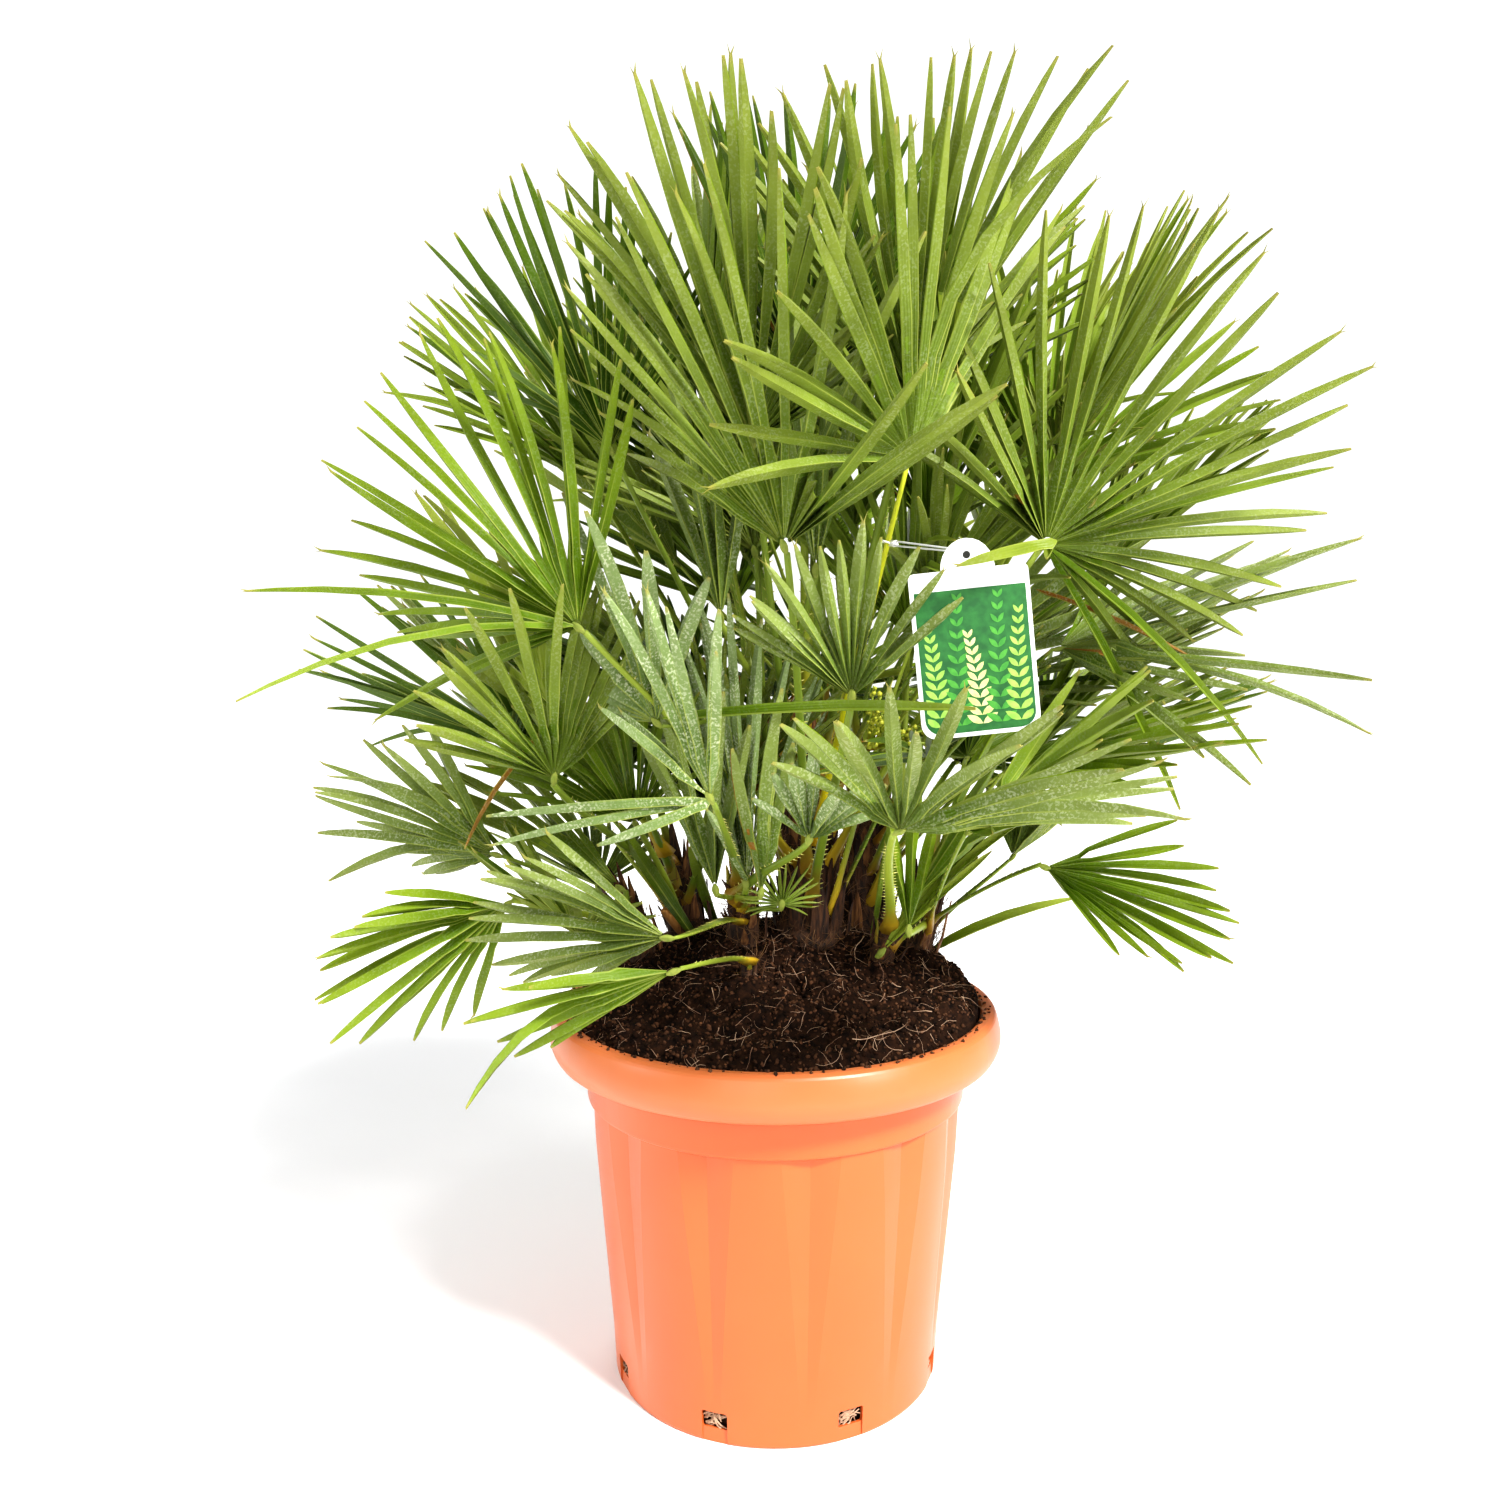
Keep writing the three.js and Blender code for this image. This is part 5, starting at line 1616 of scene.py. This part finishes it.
def strew(name, ground, tree, **sizes):
    """Runs the tree on a copy of the ground and keeps what it strews as a plain mesh."""
    piece = link(name, ground.data.copy())
    strewing = piece.modifiers.new("strew", "NODES")
    strewing.node_group = tree
    named = {item.name: item.identifier for item in tree.interface.items_tree if item.in_out == "INPUT"}
    for label, value in sizes.items():
        strewing[named[label]] = value
    return applied(piece)


STREWN_INPUTS = (("Density", "Float", 1000.0), ("Tumble", "Float", 0.5), ("Turn", "Float", math.pi))

strewn_bits = strewing_tree("strewn_bits", STREWN_INPUTS, strewn)
crumbs = variants("crumb", crumb, 5)
rootlets = variants("rootlet", rootlet, 7)
fibres = variants("fibre", fibre, 5)
# Peat is dark, and the mound's peat is painted darker still than the crumbs: painted shade for the gaps
# between them.
peat = mottled("peat_near_black_painted_shade", "#120905", "#2e1b0f", 6, 0.9, 0.9, 0.9, 1.6, gloss=0.12)
peat_crumb = mottled("peat_crumb_dry", "#1c110a", "#644430", 5, 0.9, 0.9, 0.5, 1.0, gloss=0.12)
bark_chip = mottled("bark_chip_red_brown", "#4a2a18", "#7a5236", 12, 0.9, 0.8, 0.5, 1.0, gloss=0.2)
root_skin = mottled("root_pale_bark", "#cbaa8c", "#7a5642", 14, 0.9, 0.6, 0.3, 1.0)

soil_heap = Heap()
soil_lines = soil_rings()
soil_heap.add(np.concatenate(soil_lines), capped(len(soil_lines), SOIL_COLUMNS), 0)
soil = soil_heap.piece("soil_mound", [peat])
declare(soil, "soil", "soil")

cover_heap = Heap()
cover_lines = soil_lines[len(SOIL_WALL) + 1 :]
cover_heap.add(np.concatenate(cover_lines), loft_faces(len(cover_lines), SOIL_COLUMNS), 0)
cover = cover_heap.piece("soil_cover", [])
# Bits on the soil: how many to the square metre, their sizes, their tumble and their seed.
for name, kinds, finish, density, smallest, largest, tumble, seed in (
    ("soil_crumbs", crumbs, peat_crumb, 60000, 0.4, 2.1, 3.1, 3),
    ("soil_clods", crumbs, peat, 14000, 1.2, 3.2, 3.1, 4),
    ("soil_chips", crumbs, bark_chip, 2500, 0.6, 1.6, 3.1, 6),
    ("soil_roots", rootlets, root_skin, 8500, 0.3, 1.3, 0.7, 5),
    ("soil_thick_roots", rootlets, root_skin, 350, 1.5, 2.3, 0.3, 8),
):
    bits = strew(
        name, cover, strewn_bits, Density=float(density), Smallest=smallest, Largest=largest, Tumble=tumble,
        Seed=seed, Kinds=kinds, Finish=finish,
    )
    declare(bits, "soil")
remove(cover)

# Roots that curl behind the drain slots.
SLOT_ROOTS = {
    "each": 16, "radius": 113.2, "deep": 2.4, "low": 9, "high": 23, "steps": 6, "reach": 6, "swing": 3,
    "curl": 0.4, "most": 7,
}

slot_heap = Heap()
slot_dice = Dice(SEEDS["kinds"])
for drain in range(POT["slots"]):
    middle = POT["first_slot"] + drain * FULL_TURN / POT["slots"]
    for _ in range(SLOT_ROOTS["each"]):
        path = []
        swing, height = slot_dice.span(-1, 1), slot_dice.span(SLOT_ROOTS["low"], SLOT_ROOTS["high"])
        bend, climb = (slot_dice.span(-SLOT_ROOTS["most"], SLOT_ROOTS["most"]) for _ in range(2))
        for step in np.linspace(-1, 1, SLOT_ROOTS["steps"]):
            curled = bend * step * step
            across = swing * SLOT_ROOTS["swing"] + step * SLOT_ROOTS["reach"] + curled * SLOT_ROOTS["curl"]
            up = min(max(height + climb * step + curled, SLOT_ROOTS["low"]), SLOT_ROOTS["high"])
            radius = SLOT_ROOTS["radius"] + slot_dice.span(0, SLOT_ROOTS["deep"])
            path.append(polar(radius, middle + math.degrees(across / SLOT_ROOTS["radius"]), up))
        tube(slot_heap, path, np.linspace(0.8, 0.4, SLOT_ROOTS["steps"]), 5, 0)
declare(slot_heap.piece("slot_roots", [root_skin]), "soil")

# Crumbs spilt on the rim, where the mound was filled too full.
SPILL = {"radii": (153.0, 147.5), "height": 266.4, "columns": 90}

spill_heap = Heap()
spill_heap.add(
    [
        polar(radius, column * FULL_TURN / SPILL["columns"], SPILL["height"])
        for radius in SPILL["radii"]
        for column in range(SPILL["columns"])
    ],
    loft_faces(2, SPILL["columns"]), 0,
)
spill = spill_heap.piece("rim_spill", [])
declare(
    strew(
        "rim_crumbs", spill, strewn_bits, Density=42000.0, Smallest=0.4, Largest=2.0, Tumble=3.1, Seed=9,
        Kinds=crumbs, Finish=peat_crumb,
    ),
    "soil",
)
remove(spill)

# Stems: short trunks wrapped in brown leaf sheaths and their fibres.
STEM_SIDES = 48
STEM_RINGS = 40
GOLDEN = 137.5
BOOTS = {"pitch": 7.0, "long": 26.0, "wide": 34.0, "proud": 2.6, "foot": 0.35, "sunk": 4, "full_radius": 12}
STEM_SLIM = 0.94
STEM_TOP = {"from": 0.93, "round": 0.075, "least": 0.02}
# The bark's unevenness, by degrees round the stem and millimetres up it.
STEM_ROUGH = {"round": 9, "up": 14, "proud": 0.5}


def stem_mesh(heap, name):
    foot, tip = stem_line(name)
    way = unit(tip - foot)
    side = unit(np.cross(way, (0, 1, 0)))
    other = np.cross(way, side)
    height = np.linalg.norm(tip - foot)
    top_boot = int(height / BOOTS["pitch"]) + 1
    boots = [(boot * BOOTS["pitch"], boot * GOLDEN) for boot in range(-BOOTS["sunk"], top_boot)]
    points, places = [], []
    for ring in range(STEM_RINGS + 1):
        share = ring / STEM_RINGS
        middle = mix(foot, tip, share)
        radius = stem_radius(name, share)
        if share > STEM_TOP["from"]:
            past = (share - STEM_TOP["from"]) / STEM_TOP["round"]
            radius *= math.sqrt(max(STEM_TOP["least"], 1 - past**2))
        for turn in range(STEM_SIDES):
            angle = turn * FULL_TURN / STEM_SIDES
            proud = 0.0
            for low, heading in boots:
                up = (share * height - low) / BOOTS["long"]
                if 0 < up < 1:
                    apart = abs((angle - heading + 180) % FULL_TURN - 180)
                    off = apart / mix(BOOTS["wide"] * 2, BOOTS["wide"], up)
                    if off < 1:
                        rise = BOOTS["foot"] + (1 - BOOTS["foot"]) * up
                        proud = max(proud, rise * (1 - off**2) ** 0.5)
            spot = Vector((angle / STEM_ROUGH["round"], share * height / STEM_ROUGH["up"], len(name)))
            rough = noise.fractal(spot, 1.0, 2.0, 3) * STEM_ROUGH["proud"]
            boot = proud * BOOTS["proud"] * min(1, radius / BOOTS["full_radius"])
            out = radius * STEM_SLIM + boot + rough
            spin = math.radians(angle)
            points.append(middle + (side * math.cos(spin) + other * math.sin(spin)) * out)
            places.append((turn / STEM_SIDES, share))
    heap.add(points, capped(STEM_RINGS + 1, STEM_SIDES), 0, places)


SCALES = {
    "each": 36.0, "shortest": 22, "longest": 54, "full_radius": 13, "top": 0.94, "stray": 20, "out": 1.2,
    "young": 0.4, "curve": 0.16, "wide": (0.5, 0.95), "lean": (1, 7), "sharp": 40,
}
# Share of the length, share of the width, share of the lean and distance out of each row of a sheath.
SCALE_ROWS = ((0, 1, 0, -2.0), (0.4, 0.86, 0, 0.8), (0.75, 0.5, 0.5, 0), (1, 0.06, 1, 0))


def sheath_scale(heap, foot, up, out, long, wide, lean, slot):
    """A pointed flap of old leaf sheath, curved round the stem."""
    across = np.cross(up, out)
    rows = []
    for share, width, leaning, away in SCALE_ROWS:
        middle = foot + up * long * share + out * (lean * leaning + away)
        edge = across * wide / 2 * width
        sunk = out * wide * SCALES["curve"] * width
        rows.append(np.array([middle - edge - sunk, middle, middle + edge - sunk]))
    points = [point for row in rows for point in around(row, out, 1.0)]
    places = [(u, row[0]) for row in SCALE_ROWS for u in ROW_PLACES]
    heap.add(points, capped(len(SCALE_ROWS), len(ROW_PLACES)), slot, places)


def scale_mesh(heap, name, dice):
    foot, tip = stem_line(name)
    up = unit(tip - foot)
    height = np.linalg.norm(tip - foot)
    radius = stem_radius(name, 0.5)
    count = int(height * radius / SCALES["each"])
    for scale in range(count):
        share = scale / count * SCALES["top"]
        out = polar(1, scale * GOLDEN + dice.span(-SCALES["stray"], SCALES["stray"]))
        out = unit(out - up * np.dot(out, up))
        start = mix(foot, tip, share) + out * (stem_radius(name, share) + SCALES["out"])
        long = dice.span(SCALES["shortest"], SCALES["longest"]) * min(1, radius / SCALES["full_radius"])
        slot = dice.pick((0, 0, 1, 1, 2) if share > SCALES["young"] else (0, 0, 0, 1))
        wide = radius * dice.span(*SCALES["wide"])
        sheath_scale(heap, start, up, out, long, wide, dice.span(*SCALES["lean"]), slot)


bark = mottled("leaf_sheath_brown_fibrous", "#1e110a", "#563820", 2.4, 1.0, 0.8, 1.0, 1.2, upright=9.0)
fibre_brown = mottled("sheath_fibre_dry", "#4a2f1a", "#8a653e", 12, 0.9, 0.7)
SHEATHS = [
    mottled("leaf_sheath_black_brown", "#1c0f08", "#54341c", 2.2, 1.0, 0.8, 1.0, 1.0, upright=9.0),
    mottled("leaf_sheath_chestnut", "#4c2b15", "#96683c", 2.4, 1.0, 0.75, 1.0, 1.0, upright=9.0),
    mottled("leaf_sheath_young_yellow", "#a98a2e", "#7d8a2c", 3.0, 0.9, 0.5, 0.5, 1.0, upright=9.0),
]
for name in STEMS:
    heap = Heap()
    stem_mesh(heap, name)
    stem = heap.piece(f"{name}_bark", [bark])
    declare(stem, "stem", name)
    hairs = strew(
        f"{name}_fibres", stem, strewn_bits, Density=42000.0, Smallest=0.5, Largest=1.2, Tumble=0.35,
        Seed=len(name), Kinds=fibres, Finish=fibre_brown,
    )
    declare(hairs, "stem")
    scales = Heap()
    scale_mesh(scales, name, Dice(SEEDS["scales"] + len(name)))
    declare(scales.piece(f"{name}_sheaths", SHEATHS, SCALES["sharp"]), "stem")

# Teeth along both margins of every leaf stalk.
teeth_kinds = variants("tooth", tooth, 3)
spots = [spot for frond in fronds for spot in tooth_spots(frond)]
spot_mesh = bpy.data.meshes.new("tooth_spots")
spot_mesh.from_pydata([tuple(place * MM) for place, _ in spots], [], [])
outward = spot_mesh.attributes.new("outward", "FLOAT_VECTOR", "POINT")
outward.data.foreach_set("vector", np.array([way for _, way in spots]).ravel())
spot_piece = link("tooth_spots", spot_mesh)
tooth_skin = mottled("leaf_spine_pale", "#c6bd6a", "#8f9a3c", 4, 0.8, 0.5)
teeth = strew(
    "stalk_teeth", spot_piece, strewing_tree("stalk_teeth", [], outward_set), Smallest=0.55, Largest=1.15,
    Seed=3, Kinds=teeth_kinds, Finish=tooth_skin,
)
declare(teeth, "frond")
remove(spot_piece)
for kinds in (crumbs, rootlets, fibres, teeth_kinds):
    remove(*kinds.objects)
    bpy.data.collections.remove(kinds)

# Flower cluster among the stalks: short branches set with small round buds.
FLOWER = {
    "foot": (62, -46, 452), "branches": 11, "heading": (-110, -10), "rise": (5, 65), "long": 46,
    "uneven": (0.7, 1.1), "radii": (1.3, 1.0, 0.6), "bow": 2, "buds": 12, "bud": 1.9, "first_bud": 0.35,
}


def flower_mesh(heap, dice):
    foot = np.array(FLOWER["foot"], dtype=float)
    for _ in range(FLOWER["branches"]):
        way = towards(dice.span(*FLOWER["heading"]), dice.span(*FLOWER["rise"]))
        end = foot + way * FLOWER["long"] * dice.span(*FLOWER["uneven"])
        tube(heap, [foot, mix(foot, end, 0.5) + UP * FLOWER["bow"], end], FLOWER["radii"], 5, 1)
        for bud in range(FLOWER["buds"]):
            middle = mix(foot, end, mix(FLOWER["first_bud"], 1.0, bud / (FLOWER["buds"] - 1)))
            off = unit(np.array([dice.span(-1, 1) for _ in range(3)])) * FLOWER["bud"]
            points, faces = ball_mesh(FLOWER["bud"] * dice.span(*FLOWER["uneven"]))
            heap.add([point + middle + off for point in points], faces, 0)


flowers = Heap()
flower_mesh(flowers, Dice(SEEDS["extra"]))
bud_skin = mottled("flower_bud_yellow_green", "#9da52a", "#c0bd3c", 5, 0.8, 0.5)
declare(flowers.piece("flower_cluster", [bud_skin, STALK_FINISHES[0]]), "young_leaf")

# Hang tag: printed card with a white border, on a nylon tie.
TAG_TOP = TAG["height"] / 2
TAG_BORDER = 2.2
TAG_INK = 0.1
TAG_EYE = {"radius": 2, "height": 0.45, "corners": 12}
TAB_ROUND = 0.98
TAG_SHARP = 20


def tag_outline(inset=0.0):
    """The card's outline, clockwise from its lower left, with a rounded tab above."""
    right, top, tab = TAG["width"] / 2 - inset, TAG_TOP - inset, TAG["tab_width"] / 2
    corner, shoulder = TAG["corner"], TAG["shoulder"]
    outline = []

    def turn(x, z, radius, first, rise=None):
        for angle in np.radians(np.linspace(first, first - 90, 7)):
            outline.append((x + radius * math.cos(angle), z + (rise or radius) * math.sin(angle)))

    turn(-right + corner, -top + corner, corner, 270)
    turn(-right + shoulder, top - shoulder, shoulder, 180)
    if not inset:
        turn(0, top, tab, 180, TAG["tab_height"] * TAB_ROUND)
        turn(0, top, tab, 90, TAG["tab_height"] * TAB_ROUND)
    turn(right - shoulder, top - shoulder, shoulder, 90)
    turn(right - corner, -top + corner, corner, 360)
    return outline


def tag_slab(heap, outline, front, back, slot):
    count = len(outline)
    points = [tag_point(x, z, y) for y in (front, back) for x, z in outline]
    faces = [
        tuple(reversed(range(count))),
        tuple(range(count, 2 * count)),
        *((side, (side + 1) % count, (side + 1) % count + count, side + count) for side in range(count)),
    ]
    heap.add(points, faces, slot)


tag_card = mottled("tag_card_white_coated", "#f6f6f4", "#ececea", 30, 0.4, 0.45, 0.0)
tag_inks = [
    mottled(f"tag_ink_{name}", colour, other, 5, 0.9, 0.5)
    for name, colour, other in (
        ("dark_green", "#1f5a2a", "#2f7434"), ("green", "#3c8a34", "#58a63e"),
        ("light_green", "#86bb4a", "#a9cf62"), ("cream", "#d9dc9a", "#c4cf78"),
        ("eye_painted_shade", "#20201c", "#2c2c26"),
    )
]
# Five sprigs of paired leaves on a dark ground: foot, lean of the top, share of the height and ink.
TAG_SPRIGS = ((-21, -2, 0.76, 3), (-10, 3, 1.0, 2), (1, -4, 0.7, 4), (11, 3, 1.0, 2), (21, 3, 0.86, 3))
TAG_LEAVES = {
    "pairs": 11, "long": 9.5, "shortest": 5.0, "wide": 0.2, "layer": 0.03, "first": 2, "last": 6, "open": 58,
    "closed": 30,
}
TAG_LEAF_EDGE = (
    (0, 0), (0.25, 0.75), (0.5, 1), (0.78, 0.65), (1, 0), (0.78, -0.65), (0.5, -1), (0.25, -0.75),
)
TAG_PRINT = {"side": 27.5, "low": -39.0, "high": 33.0}


def tag_leaf(heap, x, z, long, turn, front, slot):
    """A pointed oval leaf printed on the card."""
    way = np.array([math.cos(math.radians(turn)), math.sin(math.radians(turn))])
    side = np.array([-way[1], way[0]]) * long * TAG_LEAVES["wide"]
    outline = [np.array([x, z]) + way * long * along + side * across for along, across in TAG_LEAF_EDGE]
    inside = np.clip(outline, (-TAG_PRINT["side"], TAG_PRINT["low"]), (TAG_PRINT["side"], TAG_PRINT["high"]))
    tag_slab(heap, inside, front, front - TAG_LEAVES["layer"] * 2, slot)


tag = Heap()
tag_front = -TAG["thick"] / 2
tag_slab(tag, tag_outline(), -tag_front, tag_front, 0)
printed = [(x, min(z, TAG_PRINT["high"])) for x, z in tag_outline(TAG_BORDER)]
layer = tag_front - TAG_INK
tag_slab(tag, printed, tag_front, layer, 1)
for foot, lean, tall, ink in TAG_SPRIGS:
    layer -= TAG_LEAVES["layer"]
    for pair in range(TAG_LEAVES["pairs"]):
        rise = pair / (TAG_LEAVES["pairs"] - 1)
        low, high = TAG_PRINT["low"] + TAG_LEAVES["first"], TAG_PRINT["high"] - TAG_LEAVES["last"]
        height = mix(low, high, rise * tall)
        long = mix(TAG_LEAVES["long"], TAG_LEAVES["shortest"], rise)
        turn = mix(TAG_LEAVES["open"], TAG_LEAVES["closed"], rise)
        for way in (-1, 1):
            tag_leaf(tag, foot + lean * rise * rise, height, long, 90 + way * turn, layer, ink)
# The eye is no hole but a dark disc on the card's face: painted shade where the hole would show.
eye_height = TAG_TOP + TAG["tab_height"] * TAG_EYE["height"]
eye_edge = [
    (TAG_EYE["radius"] * math.cos(angle), eye_height + TAG_EYE["radius"] * math.sin(angle))
    for angle in np.linspace(0, -2 * math.pi, TAG_EYE["corners"] + 1)[:-1]
]
tag_slab(tag, eye_edge, tag_front, tag_front - TAG_INK, 5)
declare(tag.piece("tag_card", [tag_card, *tag_inks], TAG_SHARP), "hang_tag", "hang_tag")

# Tie: two thin strands from the card's eye, a buckle and a loop round the leaf stalk.
TIE = {"strand": 0.55, "apart": (0.5, 1.4), "steps": 6, "loop": 4.5, "loop_thick": 0.6, "turns": 17}
# Distance before the loop and radius of each ring of the buckle.
BUCKLE = {9: 1.2, 8.6: 2.2, 6.4: 2.2, 6: 1.2}

tie = Heap()
eye, held = tie_ends(stalk_curve(fronds[0]))
strand = unit(held - eye)
apart = unit(np.cross(strand, (0, 1, 0)))
round_stalk = np.cross(apart, strand)
for way in (-1, 1):
    shares = np.linspace(0, 1, TIE["steps"])
    path = [mix(eye, held, share) + apart * way * mix(*TIE["apart"], share) for share in shares]
    tube(tie, path, [TIE["strand"]] * TIE["steps"], 6, 0)
tube(tie, [held - strand * back for back in BUCKLE], BUCKLE.values(), 4, 0)
loop = [
    held + (strand * (1 - math.cos(angle)) + round_stalk * math.sin(angle)) * TIE["loop"]
    for angle in np.linspace(0, 2 * math.pi, TIE["turns"])
]
tube(tie, loop, [TIE["loop_thick"]] * TIE["turns"], 6, 0)
nylon = mottled("nylon_tie_white", "#f2f2f0", "#e2e2de", 10, 0.4, 0.35)
declare(tie.piece("tag_tie", [nylon]), "hang_tag")


# Camera, lights and floor
CAMERA = {"lens": 31.2, "sensor": 36, "shift": -0.017, "place": (0, -0.913, 0.543), "down": 6}
SUN = {"heading": -46, "height": 46, "strength": 5.3, "breadth": 12, "far": 3}
# Place, target, power and size of each softbox.
SOFTBOXES = (
    ((-0.5, -2.4, 1.0), (0, 0, 0.4), 12, 1.3),
    ((1.41, -1.27, 0.85), (0, 0, 0.25), 12, 0.4),
    ((-1.9, -0.8, 1.1), (0, 0, 0.3), 14, 0.7),
    ((0.3, 1.9, 2.4), (0, 0, 0.5), 22, 1.2),
    ((-1.5, 0.5, 1.7), (-0.6, 0.1, 0), 12, 0.8),
)
FLOOR_REACH = 6
AMBIENT = 0.22


def lamp(name, kind, place, target, energy, **settings):
    """A lamp at a place, turned to its target."""
    light = bpy.data.lights.new(name, kind)
    light.energy = energy
    for setting, value in settings.items():
        setattr(light, setting, value)
    piece = link(name, light)
    piece.location = place
    piece.rotation_euler = (Vector(target) - Vector(place)).to_track_quat("-Z", "Y").to_euler()


camera_data = bpy.data.cameras.new("camera")
camera_data.lens = CAMERA["lens"]
camera_data.sensor_width = CAMERA["sensor"]
camera_data.shift_x = CAMERA["shift"]
camera = link("camera", camera_data)
camera.location = CAMERA["place"]
camera.rotation_euler = (math.radians(90 - CAMERA["down"]), 0, 0)
bpy.context.scene.camera = camera

floor_mesh = bpy.data.meshes.new("floor")
floor_corners = [(x * FLOOR_REACH, y * FLOOR_REACH, 0) for x, y in ((-1, -1), (1, -1), (1, 1), (-1, 1))]
floor_mesh.from_pydata(floor_corners, [], [(0, 1, 2, 3)])
floor = link("floor", floor_mesh)
floor_mesh.materials.append(mottled("studio_floor_white", "#fafaf9", "#f6f6f5", 200, 0.5, 0.7))
# A broad light from far off, so that the floor is lit evenly.
sun_place = towards(SUN["heading"], SUN["height"]) * SUN["far"]
lamp("key", "SUN", sun_place, (0, 0, 0), SUN["strength"], angle=math.radians(SUN["breadth"]))
for place, target, power, size in SOFTBOXES:
    lamp("softbox", "AREA", place, target, power, shape="SQUARE", size=size)
world = bpy.data.worlds.new("studio")
world.use_nodes = True
sky_tree = world.node_tree
sky_tree.nodes.clear()
seen = add_node(sky_tree, "ShaderNodeLightPath").outputs["Is Camera Ray"]
lit, backdrop = (
    add_node(sky_tree, "ShaderNodeBackground", {"Color": linear(colour), "Strength": strength})
    for colour, strength in (("#f6f8ff", AMBIENT), ("#ffffff", 1.0))
)
sky_shares = {0: seen, 1: lit.outputs["Background"], 2: backdrop.outputs["Background"]}
sky = add_node(sky_tree, "ShaderNodeMixShader", sky_shares)
add_node(sky_tree, "ShaderNodeOutputWorld", {"Surface": sky.outputs["Shader"]})
bpy.context.scene.world = world
bpy.context.scene.view_settings.view_transform = "Standard"
bpy.context.scene.view_settings.look = "Medium High Contrast"
